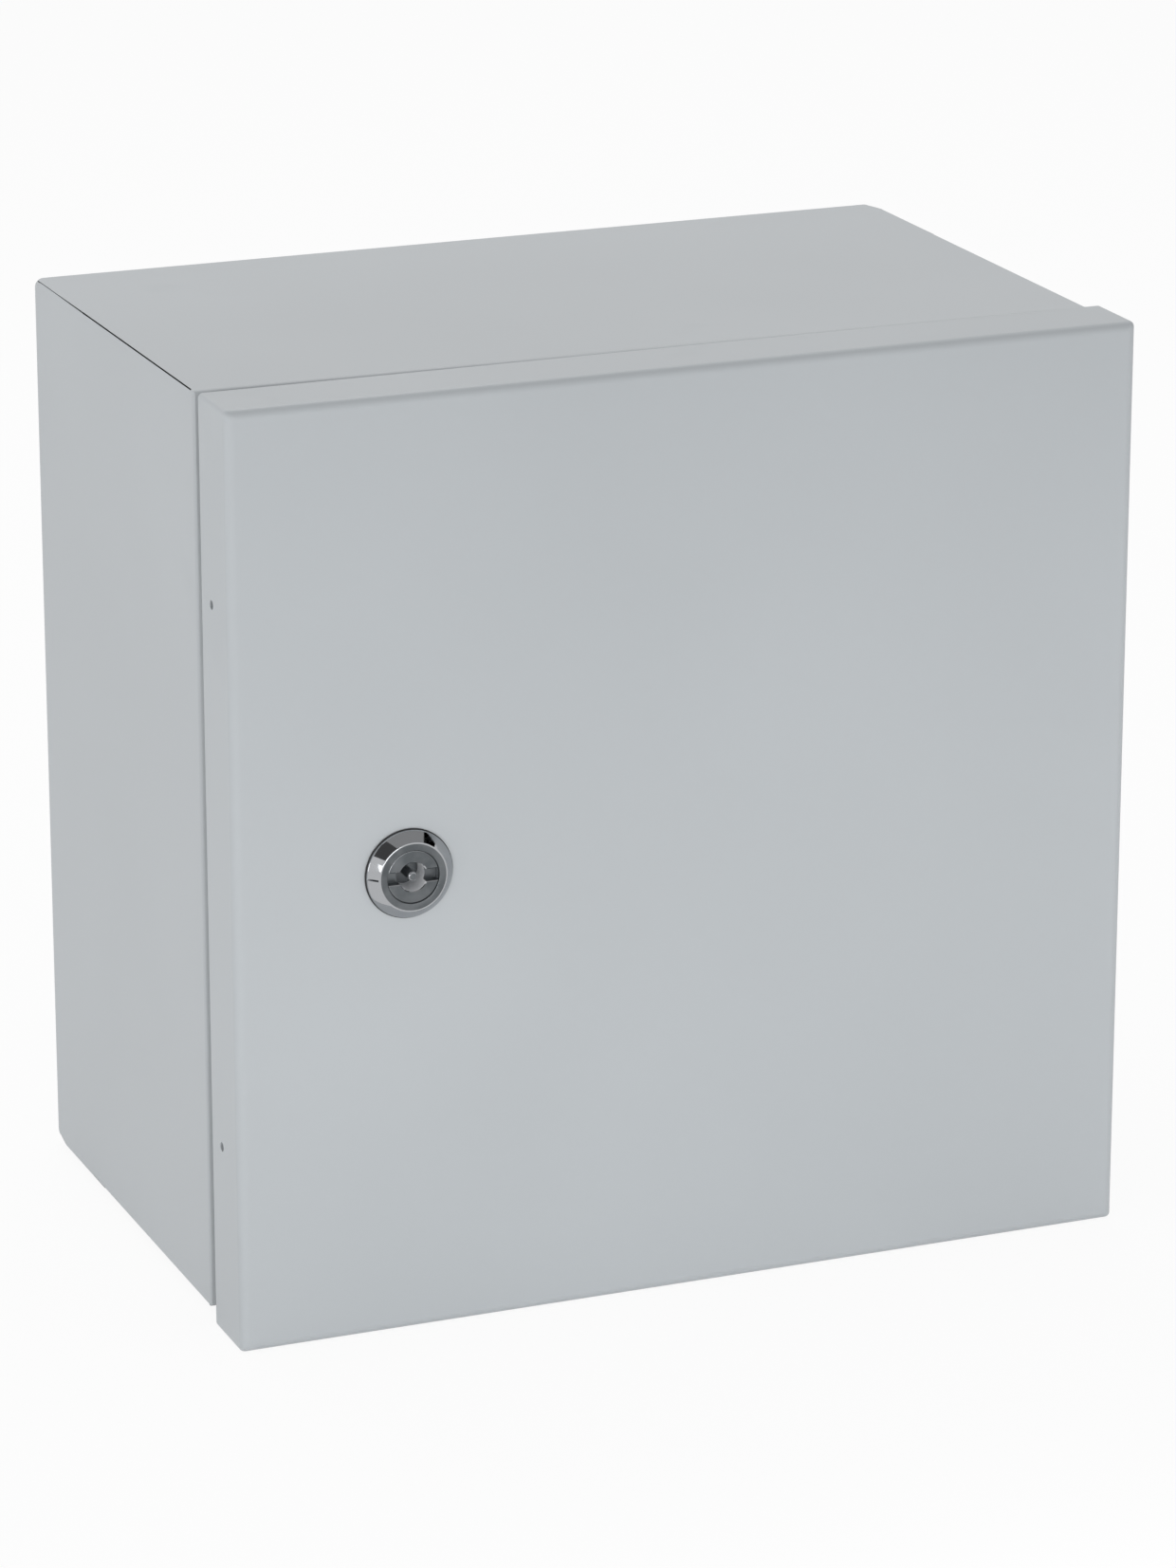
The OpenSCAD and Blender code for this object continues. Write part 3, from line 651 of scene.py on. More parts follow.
def eased(profile):
    """A profile of (radius, height) pairs with round corners: a third value is how far a
    corner's rounding reaches along its two sides."""
    points = []
    for index, (radius, height, *reach) in enumerate(profile):
        corner = Vector((radius, height))
        if not reach:
            points.append((radius, height))
            continue
        before = (Vector(profile[index - 1][:2]) - corner).normalized() * reach[0]
        after = (Vector(profile[index + 1][:2]) - corner).normalized() * reach[0]
        for step in range(EASE_STEPS + 1):
            share = step / EASE_STEPS
            point = corner + before * (1 - share) ** 2 + after * share ** 2
            points.append((point.x, point.y))
    return points


def spin(form, profile, matrix, steps):
    """Adds a profile of (radius, height) pairs turned around the local Z axis. Both ends of
    the profile lie on the axis, or it is a closed ring where they are the same."""
    closed = profile[0] == profile[-1]
    points = profile[:-1] if closed else profile
    rings = []
    for radius, height in points:
        if radius < 1e-9:
            rings.append([form.verts.new(matrix @ Vector((0, 0, height)))])
            continue
        rings.append([
            form.verts.new(matrix @ Vector((
                radius * math.cos(math.tau * step / steps),
                radius * math.sin(math.tau * step / steps),
                height,
            )))
            for step in range(steps)
        ])
    pairs = list(zip(rings, rings[1:]))
    if closed:
        pairs.append((rings[-1], rings[0]))
    for lower, upper in pairs:
        for step in range(steps):
            after = (step + 1) % steps
            corners = [
                lower[step % len(lower)], lower[after % len(lower)],
                upper[after % len(upper)], upper[step % len(upper)],
            ]
            form.faces.new(list(dict.fromkeys(corners)))


def rod(form, matrix, radius, low, high, steps):
    """Adds a cylinder along local Z from low to high."""
    spin(form, [(0, low), (radius, low), (radius, high), (0, high)], matrix, steps)


def thread(form, matrix, diameter, low, high, core=0.0, steps=24):
    """Adds a screw thread along local Z from low to high, as a closed solid: a rod, or a
    sleeve where core is the radius of its bore. Its ends fade out to the root."""
    pitch = PITCH[round(diameter / MM)]
    crest = diameter / 2
    root = crest - THREAD_DEPTH * pitch
    ridge = ((0.0, root), (0.15, root), (0.5, crest), (0.65, crest))
    turns = math.ceil((high - low) / pitch) + 2
    columns = []
    for step in range(steps + 1):
        angle = math.tau * step / steps
        column = [(core, low)]
        for turn in range(turns):
            for phase, radius in ridge:
                height = low + pitch * (turn + phase + step / steps - 1)
                inside = low < height < high
                column.append((radius if inside else root, min(max(height, low), high)))
        column.append((core, high))
        columns.append([
            form.verts.new(matrix @ Vector((
                radius * math.cos(angle), radius * math.sin(angle), height,
            )))
            for radius, height in column
        ])
    for here, there in zip(columns, columns[1:]):
        for index in range(len(here) - 1):
            form.faces.new([here[index], here[index + 1], there[index + 1], there[index]])
        if core:
            form.faces.new([here[-1], here[0], there[0], there[-1]])
    bmesh.ops.remove_doubles(form, verts=form.verts, dist=0.001 * MM)


# ---------------------------------------------------------------- door


def rounded_outline(half_width, half_height, radius, steps, side=1):
    """The (x, z) points of a rectangle with round corners, anticlockwise, with side
    stretches along each straight."""
    corners = [
        [
            (
                sx * (half_width - radius) + radius * math.cos(angle),
                sz * (half_height - radius) + radius * math.sin(angle),
            )
            for angle in ((quarter + step / steps) * math.pi / 2 for step in range(steps + 1))
        ]
        for quarter, (sx, sz) in enumerate(((1, 1), (-1, 1), (-1, -1), (1, -1)))
    ]
    points = []
    for here, there in zip(corners, corners[1:] + corners[:1]):
        points += here
        start, end = Vector(here[-1]), Vector(there[0])
        points += [tuple(start.lerp(end, step / side)) for step in range(1, side)]
    return points


def bend_stations(inset, y, radius, start, end):
    """Stations round a bend whose centre lies at (inset, y): the angles are in degrees,
    0 points to the side and 90 to the front."""
    turned = []
    for step in range(BEND_STEPS + 1):
        angle = math.radians(start + (end - start) * step / BEND_STEPS)
        turned.append((inset - radius * math.cos(angle), y - radius * math.sin(angle)))
    return turned


def loft(form, rings, closed=False):
    """Joins rings of points one after the other. A closed loft joins the last to the first,
    and an open one gets flat ends."""
    following = rings[1:] + rings[:1] if closed else rings[1:]
    for here, there in zip(rings, following):
        for index in range(len(here)):
            after = (index + 1) % len(here)
            form.faces.new([here[index], here[after], there[after], there[index]])
    if not closed:
        form.faces.new(rings[0])
        form.faces.new(rings[-1])


def fold(form, low, high, stations, corner, closed=False, steps=5, side=1):
    """Adds a profile that runs round a rectangle: stations are (inset, y) pairs along it,
    and corner gives the corner radius at an inset. An open profile is closed by flat faces
    at both ends."""
    centre_x, centre_z = (low.x + high.x) / 2, (low.z + high.z) / 2
    half_w, half_h = (high.x - low.x) / 2, (high.z - low.z) / 2
    rings = [
        [
            form.verts.new((centre_x + x, y, centre_z + z))
            for x, z in rounded_outline(
                half_w - inset, half_h - inset, corner(inset), steps, side,
            )
        ]
        for inset, y in stations
    ]
    loft(form, rings, closed)


def door_sheet():
    """The folded door with rounded bends, ground corners, the lock's hole and the small
    holes in its flanges."""
    sheet = sizes_of("sheet")
    lock = sizes_of("lock")
    t = sheet.thickness
    front, rear = DOOR_LOW.y, DOOR_HIGH.y
    centre = sheet.bend, front + sheet.bend
    form = bmesh.new()
    stations = [
        *bend_stations(*centre, sheet.bend - t, 90, 0),
        (t, rear), (0, rear),
        *bend_stations(*centre, sheet.bend, 0, 90),
    ]
    fold(form, DOOR_LOW, DOOR_HIGH, stations, lambda inset: sheet.corner)
    item = mesh_object("door_sheet", form)

    drill = bmesh.new()
    rod(drill, at_lock(DOOR_LOW.y), lock.barrel / 2, -2 * t, 2 * t, 64)
    rivet_low, rivet_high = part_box("leaf_rivets")
    reach_x = (DOOR_HIGH.x - DOOR_LOW.x) / 2 + t
    middle_y = (rivet_low.y + rivet_high.y) / 2
    reach_z = (rivet_high.z - rivet_low.z) / 2 - (rivet_high.y - rivet_low.y) / 2
    for side in (-1, 1):
        across = pointing((0, middle_y, side * reach_z), (1, 0, 0))
        rod(drill, across, sheet.hole / 2, -reach_x, reach_x, 32)
    cut(item, mesh_object("drills", drill))
    even_shading(item)
    settle(item, "door", "door")


def foamed_seal():
    """The foamed strip: poured in one run, so its back is uneven and rises where its end
    meets its start."""
    seal = sizes_of("seal")
    low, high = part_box("door_gasket")
    height = high.y - low.y
    steps = 14
    stations = []
    for step in range(steps + 1):
        turn = math.pi * step / steps
        rise = height * max(0.0, math.sin(turn)) ** seal.crown
        stations.append((seal.width * (1 - math.cos(turn)) / 2, low.y + rise))
    form = bmesh.new()
    centre = seal.width + seal.corner
    fold(form, low, high, stations, lambda inset: centre - inset, True, 12, 110)
    join = Vector((high.x / 3, low.y, low.z))
    for vert in form.verts:
        share = (vert.co.y - low.y) / height
        swell = math.exp(-((vert.co - join).length / (1.2 * seal.width)) ** 2)
        uneven = 0.5 + 0.5 * mathutils.noise.noise(vert.co / (1.4 * seal.width))
        fine = 0.5 + 0.5 * mathutils.noise.noise(vert.co / (0.25 * seal.width))
        drop = (0.75 * uneven + 0.25 * fine) * (1 - swell)
        vert.co.y -= seal.waves * share * drop
    settle(mesh_object("foamed_seal", form, 60.0), "door", "door_gasket")


# ---------------------------------------------------------------- body

# How the depth edges round off towards the back: the place in front of the wall, and the
# edge's radius as a share of the bends' radius
GROUND_CORNER = ((-12 * MM, 0.0), (-8 * MM, 0.35), (-4 * MM, 0.85))
# A face inside a seam lies deeper than this under the body's outside
SEAM_SKIN = 0.04 * MM
# and no deeper than this share of the sheet
SEAM_SHARE = 0.75


def body_sheet():
    """The folded body. Its rain gutter runs deeper towards the lock, where the seal holds the
    door further off."""
    sheet = sizes_of("sheet")
    low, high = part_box("body_shell")
    item = copy_of("body_shell", "body_sheet")
    shoulder = DOOR_HIGH.y + sheet.gutter
    for vert in item.data.vertices:
        if shoulder - sheet.thickness < vert.co.y < shoulder + 2 * sheet.bend:
            vert.co.y += sheet.deeper * (high.x - vert.co.x) / (high.x - low.x)

    over = 0.01 * MM
    form = bmesh.new()
    rings = []
    for y, share in ((2 * low.y, 0.0), *GROUND_CORNER, (over, 1.0)):
        outline = rounded_outline(
            high.x + over, high.z + over, share * sheet.bend + 2 * over, 6,
        )
        rings.append([form.verts.new((x, y, z)) for x, z in outline])
    loft(form, rings)
    cut(item, mesh_object("block", form), operation="INTERSECT")
    even_shading(item)
    settle(item, "body", "body_shell")
    # Faces inside the seams get the near-black steel, which paints shade in the grooves
    item.data.materials.append(finish_of("seam_shade_steel"))
    seam_end = GROUND_CORNER[0][0]
    for face in item.data.polygons:
        insets = high.x - abs(face.center.x), high.z - abs(face.center.z)
        inside = min(insets) > SEAM_SKIN and max(insets) < sheet.thickness * SEAM_SHARE
        if inside and face.center.y < seam_end:
            face.material_index = 1


# ---------------------------------------------------------------- lock


def lock_cam():
    """The cam, its tip set back far enough to turn behind the deeper gutter."""
    low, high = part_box("lock_cam")
    item = copy_of("lock_cam", "cranked_cam")
    for vert in item.data.vertices:
        if vert.co.y > (low.y + high.y) / 2:
            vert.co.y += sizes_of("sheet").deeper
    even_shading(item)
    settle(item, "lock", "lock_cam")


def lock_rim():
    """The chromed rim with its parting line, and the threaded barrel with two flats."""
    lock = sizes_of("lock")
    bore = lock.insert / 2 + lock.play
    outer = (RIM_HIGH.x - RIM_LOW.x) / 2
    front = RIM_LOW.y - SEAT_Y
    step_in = lock.ring / 2 - lock.edge
    form = bmesh.new()
    thread(form, at_lock(SEAT_Y), lock.barrel, front / 4, RIM_HIGH.y - SEAT_Y, bore, 72)
    for vert in form.verts:
        side = vert.co.z - LOCK_AXIS.z
        vert.co.z = LOCK_AXIS.z + min(max(side, -lock.flats / 2), lock.flats / 2)
    profile = [
        (bore, front / 2), (bore, front * 0.75), (step_in, front * 0.75), (step_in, front),
        (lock.ring / 2, front, lock.edge * 0.8), (outer, front * 0.15, lock.edge),
        (outer, 0.0, lock.edge * 0.4), (bore, 0.0), (bore, front / 2),
    ]
    spin(form, eased(profile), at_lock(SEAT_Y), 128)
    rim = mesh_object("lock_rim", form)
    slit = bmesh.new()
    reach = outer - lock.ring / 2
    place = Vector((LOCK_AXIS.x - outer - reach * 0.1, SEAT_Y + front * 0.6, LOCK_AXIS.z))
    bmesh.ops.create_cube(
        slit, matrix=Matrix.LocRotScale(place, None, (2 * reach, -front * 0.9, lock.line)),
    )
    cut(rim, mesh_object("slit", slit))
    smooth(rim.data)
    settle(rim, "door", "lock_housing")

    ring = bmesh.new()
    face = [
        (bore, front * 0.8), (bore, front, lock.edge), (step_in, front),
        (step_in, front * 0.7), (bore, front * 0.7), (bore, front * 0.8),
    ]
    spin(ring, eased(face), at_lock(SEAT_Y), 128)
    settle(mesh_object("lock_front_ring", ring), "door", "lock_insert", replaces=False)


def wing_tool(form, width, depth, length, flare):
    """Adds the cutter of both wings of the key recess, wider at the front by the flare."""
    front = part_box("lock_insert")[0].y
    levels = (
        (front - depth, width / 2 + flare), (front, width / 2 + flare),
        (front + flare, width / 2), (front + depth, width / 2),
    )
    rings = [
        [
            form.verts.new((LOCK_AXIS.x + sx * length, y, LOCK_AXIS.z + sz * half))
            for sx, sz in ((-1, -1), (1, -1), (1, 1), (-1, 1))
        ]
        for y, half in levels
    ]
    loft(form, rings)


def lock_insert():
    """The turning insert: a double-bit recess with a pin in its middle, and the square that
    drives the cam."""
    lock = sizes_of("lock")
    low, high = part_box("lock_insert")
    radius, flare = lock.insert / 2, lock.edge * 0.6
    plug_end = RIM_HIGH.y - low.y
    form = bmesh.new()
    spin(
        form, eased([(0, 0), (radius, 0, lock.edge), (radius, plug_end), (0, plug_end)]),
        at_lock(low.y), 128,
    )
    item = mesh_object("double_bit_insert", form)
    hole = bmesh.new()
    depth, wide = lock.recess_depth, lock.recess / 2
    spin(
        hole,
        [(0, -depth), (wide + flare, -depth), (wide + flare, 0), (wide, flare), (wide, depth),
         (0, depth)],
        at_lock(low.y), 96,
    )
    wings = bmesh.new()
    wing_tool(wings, lock.wing, lock.wing_depth, lock.insert, flare)
    cut(item, mesh_object("recess", hole), mesh_object("wings", wings))
    rest = bmesh.new()
    pin = lock.pin / 2
    tip = lock.edge
    spin(
        rest, eased([(0, tip), (pin, tip, 2 * lock.edge), (pin, depth + tip), (0, depth + tip)]),
        at_lock(low.y), 48,
    )
    corner = lock.square / math.sqrt(2)
    end = high.y - low.y
    turned = at_lock(low.y) @ Matrix.Rotation(math.pi / 4, 4, "Z")
    rod(rest, turned, corner, plug_end - tip, end, 4)
    rest.from_mesh(item.data)
    bpy.data.objects.remove(item)
    insert = mesh_object("double_bit_insert", rest)
    settle(insert, "lock", "lock_insert")
    insert.data.materials.append(finish_of("recess_lit_zinc"))
    insert.data.materials.append(finish_of("chromed_zinc"))
    # Material 1, the near-white zinc, paints light on the walls of the key recess; material 2 is
    # chrome on the rounded edges
    for face in insert.data.polygons:
        across = face.center - LOCK_AXIS
        across.y = 0.0
        deep = face.center.y - low.y
        tapered = TAPER[0] < face.normal.y < TAPER[1]
        if tapered and (deep < lock.edge or across.length < pin):
            face.material_index = 2
        elif abs(across.length - wide) < lock.edge and deep > lock.edge:
            face.material_index = 1


def sealing_ring():
    """The rubber ring under the rim, with round edges."""
    lock = sizes_of("lock")
    low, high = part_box("lock_seal_ring")
    outer, inner = (RIM_HIGH.x - RIM_LOW.x) / 2 + lock.lip, lock.barrel / 2
    thick = high.y - low.y
    ease = thick * 0.4
    form = bmesh.new()
    profile = [
        (inner, thick / 2), (inner, 0.0), (outer, 0.0, ease), (outer, thick, ease),
        (inner, thick), (inner, thick / 2),
    ]
    spin(form, eased(profile), at_lock(low.y), 96)
    settle(mesh_object("sealing_ring", form), "door", "lock_seal_ring")


# ---------------------------------------------------------------- screws, studs and rivets


def welded_stud(form, matrix, diameter, length):
    """Adds a threaded stud with the bead of its weld around its foot."""
    flash = sizes_of("fasteners").flash
    thread(form, matrix, diameter, 0.0, length)
    foot = diameter / 2
    spin(
        form, eased([(0, 0), (foot + flash, 0), (foot + flash / 3, flash, flash / 2), (0, flash)]),
        matrix, 32,
    )


def mounting_studs():
    """The four studs that carry the mounting plate: a collar and a thread in front of it."""
    sizes = sizes_of("fasteners")
    low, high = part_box("plate_studs")
    standoff = high.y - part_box("mounting_plate")[1].y
    radius, ease = sizes.collar / 2, sizes.flash
    collar = [
        (0, 0), (radius + sizes.flash, 0), (radius, sizes.flash, ease / 2),
        (radius, standoff, ease / 2), (0, standoff),
    ]
    form = bmesh.new()
    for x in (low.x + radius, high.x - radius):
        for z in (low.z + radius, high.z - radius):
            matrix = pointing((x, high.y, z), (0, -1, 0))
            spin(form, eased(collar), matrix, 48)
            thread(form, matrix, sizes.plate_thread, standoff / 2, high.y - low.y)
    settle(mesh_object("mounting_studs", form), "body", "plate_studs")


def gland_studs():
    """The six studs that hold the gland plate."""
    sizes = sizes_of("fasteners")
    low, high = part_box("gland_studs")
    radius = sizes.gland_thread / 2
    form = bmesh.new()
    for x in (low.x + radius, (low.x + high.x) / 2, high.x - radius):
        for y in (low.y + radius, high.y - radius):
            thread(
                form, pointing((x, y, low.z), (0, 0, 1)), sizes.gland_thread,
                0.0, high.z - low.z,
            )
    settle(mesh_object("gland_plate_studs", form), "body", "gland_studs")


def earth_studs():
    """The earth studs on the body's side and inside the door."""
    diameter = sizes_of("fasteners").earth_thread
    for body, direction in (("body", (-1, 0, 0)), ("door", (0, 1, 0))):
        node = f"{body}_earth_stud"
        low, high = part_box(node)
        way = Vector(direction)
        reach = abs((high - low).dot(way))
        form = bmesh.new()
        welded_stud(form, pointing((low + high) / 2 - way * reach / 2, way), diameter, reach)
        settle(mesh_object(f"{body}_earth_thread", form), body, node)


def leaf_middles():
    """The middle height of the upper and of the lower hinge."""
    for end in ("upper", "lower"):
        low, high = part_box(f"{end}_body_leaf")
        yield (low.z + high.z) / 2


def cross_recess(form, matrix, reach, width, depth):
    """Adds the cutter of a cross recess that narrows towards its bottom."""
    rings = []
    for height, share in ((-depth, 1.0), (0.0, 1.0), (depth, 0.45)):
        arm = width / 2 + (reach - width / 2) * share
        ring = []
        for quarter in range(4):
            turn = Matrix.Rotation(quarter * math.pi / 2, 4, "Z")
            for x, y in ((arm, -width / 2), (arm, width / 2), (width / 2, width / 2)):
                ring.append(form.verts.new(matrix @ turn @ Vector((x, y, height))))
        rings.append(ring)
    loft(form, rings)


def leaf_screws():
    """The countersunk screws of the body leaves, with cross recesses."""
    diameter = sizes_of("fasteners").leaf_thread
    low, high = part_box("leaf_screws")
    head = (high.y - low.y) / 2
    sink = head - diameter / 2
    middle_y = (low.y + high.y) / 2
    upper = max(leaf_middles())
    spread = high.z - head - upper
    form, tools = bmesh.new(), bmesh.new()
    for middle in leaf_middles():
        for z in (middle - spread, middle + spread):
            matrix = pointing((high.x, middle_y, z), (-1, 0, 0))
            profile = [
                (0, 0), (head, 0, sink / 8), (diameter / 2, sink), (diameter / 2, 2 * sink),
                (0, 2 * sink),
            ]
            spin(form, eased(profile), matrix, 48)
            thread(form, matrix, diameter, 1.5 * sink, high.x - low.x)
            cross_recess(tools, matrix, diameter / 2, diameter / 4, diameter / 2.5)
    item = mesh_object("cross_recess_screws", form)
    cut(item, mesh_object("recesses", tools))
    smooth(item.data)
    settle(item, "body", "leaf_screws")


def flange_rivets():
    """The domed rivets that hold the door leaves."""
    low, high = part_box("leaf_rivets")
    hole = sizes_of("sheet").hole / 2
    face = DOOR_HIGH.x
    dome, radius = high.x - face, (high.y - low.y) / 2
    steps = 8
    turns = [step / steps * math.pi / 2 for step in range(steps)]
    arc = [(radius * math.cos(turn), dome * math.sin(turn)) for turn in turns]
    profile = [(0, low.x - face), (hole, low.x - face), (hole, 0), *arc, (0, dome)]
    form = bmesh.new()
    for middle in leaf_middles():
        spin(form, profile, pointing((face, (low.y + high.y) / 2, middle), (1, 0, 0)), 48)
    settle(mesh_object("flange_rivets", form), "door", "leaf_rivets")


# ---------------------------------------------------------------- stage


# The share of the floor's brightness that shows shadows
FLOOR_LIT = 0.08
# Each lamp: its name, place, target, size and power in watts
LAMPS = (
    ("Key lamp", (-1.15, -1.45, 0.15), (0, -0.2, -0.1), (0.5, 0.5), 2.6),
    ("Front lamp", (-0.20, -2.15, 0.12), (0, -0.2, -0.1), (0.9, 0.45), 5.2),
    ("Side lamp", (-1.70, 0.05, 0.12), (-0.15, -0.1, -0.1), (0.9, 0.45), 3.9),
    ("Top lamp", (0.0, 0.75, 1.25), (0, -0.05, 0.1), (1.2, 0.8), 5.4),
    ("Floor lamp", (0.0, -0.52, -0.115), (0, -0.2, -0.07), (1.2, 0.05), 0.6),
)
# Each card that the chrome mirrors: its name, its distance and direction from the lock, its
# size and its brightness
CARDS = (
    ("Dark card left", 1.4, (-0.55, -0.49, 0.68), (1.3, 0.8), 0.10),
    ("Grey card above", 1.5, (0.10, -0.36, 0.93), (2.7, 1.1), 0.45),
    ("Black card right", 1.3, (0.80, -0.11, 0.58), (0.66, 0.50), 0.0),
    ("Bright strip", 1.3, (-0.88, -0.43, 0.14), (0.14, 0.30), 3.0),
)
WHITE = (1, 1, 1, 1)


def seen_directly(tree):
    """1 for what the camera, a mirror or glass sees, and 0 for light on a matt surface."""
    path = add_node(tree, "ShaderNodeLightPath").outputs
    through = maths(tree, "MAXIMUM", path["Is Glossy Ray"], path["Is Transmission Ray"])
    return maths(tree, "MAXIMUM", path["Is Camera Ray"], through)


def floor_material():
    """White where it is seen directly, apart from faint shadows, and matt for the rest."""
    material = bpy.data.materials.new("Pale floor")
    tree, output = blank(material)
    share = maths(tree, "MULTIPLY", seen_directly(tree), 1.0 - FLOOR_LIT)
    matt = add_node(tree, "ShaderNodeBsdfDiffuse", {"Color": (0.9, 0.9, 0.9, 1.0)})
    glow = add_node(tree, "ShaderNodeEmission", {"Color": WHITE, "Strength": 1.0})
    mixed = add_node(
        tree, "ShaderNodeMixShader", {0: share, 1: matt.outputs[0], 2: glow.outputs[0]},
    )
    feed(output, "Surface", mixed.outputs[0])
    return material


def plane(name, width, height, matrix, material):
    """A flat rectangle on the stage, facing local +Z."""
    form = bmesh.new()
    corners = ((-1, -1), (1, -1), (1, 1), (-1, 1))
    form.faces.new([
        form.verts.new(matrix @ Vector((sx * width / 2, sy * height / 2, 0)))
        for sx, sy in corners
    ])
    item = mesh_object(name, form)
    item.data.materials.append(material)
    return item


def facing(place, target):
    """The matrix of something at place whose local +Z looks at target."""
    return pointing(place, Vector(target) - Vector(place))


def reflected_card(name, distance, direction, size, level):
    """A card that only mirrors see: it gives the chrome something dark or bright to show."""
    material = bpy.data.materials.new(name)
    tree, output = blank(material)
    glow = add_node(tree, "ShaderNodeEmission", {"Color": WHITE, "Strength": level})
    feed(output, "Surface", glow.outputs[0])
    material.cycles.emission_sampling = "NONE"
    place = LOCK_AXIS + distance * Vector(direction).normalized()
    card = plane(name, *size, facing(place, LOCK_AXIS), material)
    card.visible_camera = False
    card.visible_diffuse = False
    card.visible_shadow = False


def add_lamp(name, place, target, size, power):
    """A soft rectangular lamp."""
    data = bpy.data.lights.new(name, "AREA")
    data.shape = "RECTANGLE"
    data.size, data.size_y = size
    data.energy = power
    item = linked(name, data)
    item.matrix_world = facing(place, target) @ Matrix.Rotation(math.pi, 4, "X")
    item.visible_camera = False
    return item


def make_camera(stage):
    """The camera in front of the door, to the left and above."""
    data = bpy.data.cameras.new("Camera")
    data.lens = stage.lens
    data.sensor_width = 36.0
    data.clip_start = 0.01
    data.clip_end = 50.0
    camera = linked("Camera", data)
    azimuth, elevation = stage.azimuth, stage.elevation
    back = Vector((
        -math.sin(azimuth) * math.cos(elevation),
        -math.cos(azimuth) * math.cos(elevation),
        math.sin(elevation),
    ))
    turn = (-back).to_track_quat("-Z", "Y")
    right = turn @ Vector((1, 0, 0))
    up = turn @ Vector((0, 1, 0))
    door_front = Vector((0, DOOR_LOW.y, 0))
    camera.location = (
        door_front + back * stage.distance + right * stage.aside + up * stage.above
    )
    camera.rotation_mode = "QUATERNION"
    camera.rotation_quaternion = turn
    bpy.context.scene.camera = camera


def make_world(stage):
    """Even light from all sides, white where it is seen."""
    world = bpy.data.worlds.new("Studio")
    tree, output = blank(world, "ShaderNodeOutputWorld")
    strength = maths(
        tree, "MULTIPLY_ADD", seen_directly(tree), 1.0 - stage.ambient, stage.ambient,
    )
    light = add_node(tree, "ShaderNodeBackground", {"Color": WHITE, "Strength": strength})
    feed(output, "Surface", light.outputs[0])
    bpy.context.scene.world = world


def make_stage():
    """The camera, the floor, the lamps and the cards that the chrome mirrors."""
    scene = bpy.context.scene
    scene.view_settings.view_transform = "Standard"
    make_camera(scene.enclosure_stage)
    make_world(scene.enclosure_stage)
    under = Matrix.Translation((0, 0, CAD_LOW.z - 0.3 * MM))
    plane("floor", 14.0, 14.0, under, floor_material())
    lamps = {lamp[0]: add_lamp(*lamp) for lamp in LAMPS}
    # Polished parts would mirror the low lamp as a bright bar
    lamps["Floor lamp"].visible_glossy = False
    for card in CARDS:
        reflected_card(*card)


# ---------------------------------------------------------------- operators


class ENCLOSURE_OT_stage(bpy.types.Operator):
    """Sets up the camera, the pale floor and the soft lamps"""

    bl_idname = "enclosure.stage"
    bl_label = "Stage"

    def execute(self, context):
        make_stage()
        return {"FINISHED"}


class ENCLOSURE_OT_door(bpy.types.Operator):
    """Makes the folded door and its foamed seal"""

    bl_idname = "enclosure.door"
    bl_label = "Door"

    def execute(self, context):
        door_sheet()
        foamed_seal()
        return {"FINISHED"}


class ENCLOSURE_OT_body(bpy.types.Operator):
    """Makes the folded body with its rain gutter"""

    bl_idname = "enclosure.body"
    bl_label = "Body"

    def execute(self, context):
        body_sheet()
        return {"FINISHED"}


class ENCLOSURE_OT_hinges(bpy.types.Operator):
    """Finishes the two hinges with their pins, screws, nuts and rivets"""

    bl_idname = "enclosure.hinges"
    bl_label = "Hinges"

    def execute(self, context):
        leaves = [f"{end}_{kind}_leaf" for end in ("upper", "lower") for kind in ("body", "door")]
        dress(*leaves, edge=0.35 * MM)
        dress("upper_hinge_pin", "lower_hinge_pin", "leaf_nuts")
        leaf_screws()
        flange_rivets()
        return {"FINISHED"}


class ENCLOSURE_OT_lock(bpy.types.Operator):
    """Makes the quarter-turn lock"""

    bl_idname = "enclosure.lock"
    bl_label = "Lock"

    def execute(self, context):
        lock_rim()
        lock_insert()
        sealing_ring()
        lock_cam()
        dress("lock_nut", "cam_washer", "cam_screw")
        return {"FINISHED"}


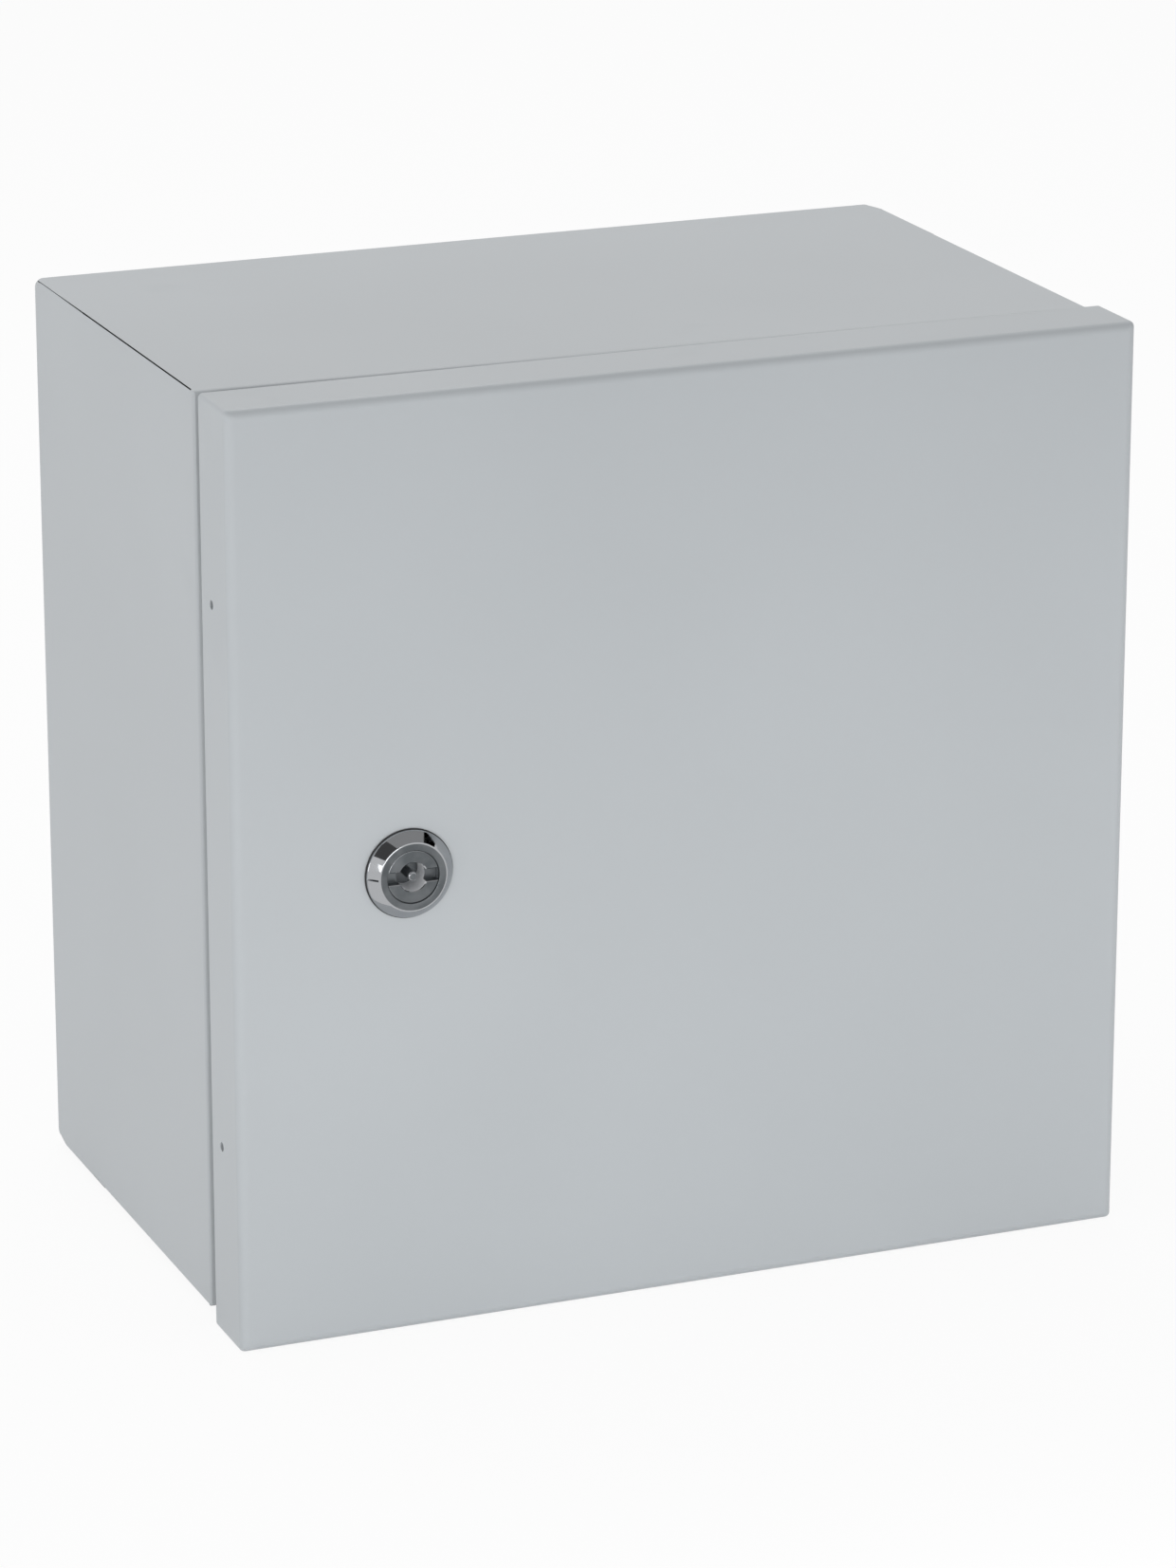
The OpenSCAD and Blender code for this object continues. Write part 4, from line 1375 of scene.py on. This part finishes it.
class ENCLOSURE_OT_mounting_plate(bpy.types.Operator):
    """Finishes the mounting plate with its studs, washers and nuts"""

    bl_idname = "enclosure.mounting_plate"
    bl_label = "Mounting plate"

    def execute(self, context):
        dress("mounting_plate", edge=0.2 * MM)
        dress("plate_washers", "plate_nuts")
        mounting_studs()
        return {"FINISHED"}


class ENCLOSURE_OT_gland_plate(bpy.types.Operator):
    """Finishes the gland plate with its seal, studs and nuts"""

    bl_idname = "enclosure.gland_plate"
    bl_label = "Gland plate"

    def execute(self, context):
        dress("gland_plate", edge=0.2 * MM)
        dress("gland_seal", "gland_nuts")
        gland_studs()
        return {"FINISHED"}


class ENCLOSURE_OT_earth(bpy.types.Operator):
    """Finishes the earth studs on the body and the door"""

    bl_idname = "enclosure.earth"
    bl_label = "Earth points"

    def execute(self, context):
        dress("body_earth_nut", "door_earth_nut")
        earth_studs()
        return {"FINISHED"}


OPERATORS = (
    ENCLOSURE_OT_stage,
    ENCLOSURE_OT_body,
    ENCLOSURE_OT_door,
    ENCLOSURE_OT_hinges,
    ENCLOSURE_OT_lock,
    ENCLOSURE_OT_mounting_plate,
    ENCLOSURE_OT_gland_plate,
    ENCLOSURE_OT_earth,
)


class ENCLOSURE_PT_panel(bpy.types.Panel):
    """Lists the pieces and their settings"""

    bl_idname = "ENCLOSURE_PT_panel"
    bl_label = "Wall enclosure"
    bl_space_type = "VIEW_3D"
    bl_region_type = "UI"
    bl_category = "Enclosure"

    def draw(self, context):
        for operator in OPERATORS:
            self.layout.operator(operator.bl_idname)
        for key, group in SETTINGS.items():
            box = self.layout.box()
            for name in group.__annotations__:
                box.prop(getattr(context.scene, key), name)


CLASSES = (*SETTINGS.values(), *OPERATORS, ENCLOSURE_PT_panel)


def register():
    """Registers the settings, the operators and the panel."""
    for item in CLASSES:
        bpy.utils.register_class(item)
    for key, group in SETTINGS.items():
        setattr(bpy.types.Scene, key, PointerProperty(type=group))


def unregister():
    """Takes them out again."""
    for key in SETTINGS:
        delattr(bpy.types.Scene, key)
    for item in reversed(CLASSES):
        bpy.utils.unregister_class(item)


def main():
    """Builds the dressed enclosure."""
    register()
    for operator in OPERATORS:
        family, name = operator.bl_idname.split(".")
        getattr(getattr(bpy.ops, family), name)()


if __name__ == "__main__":
    main()
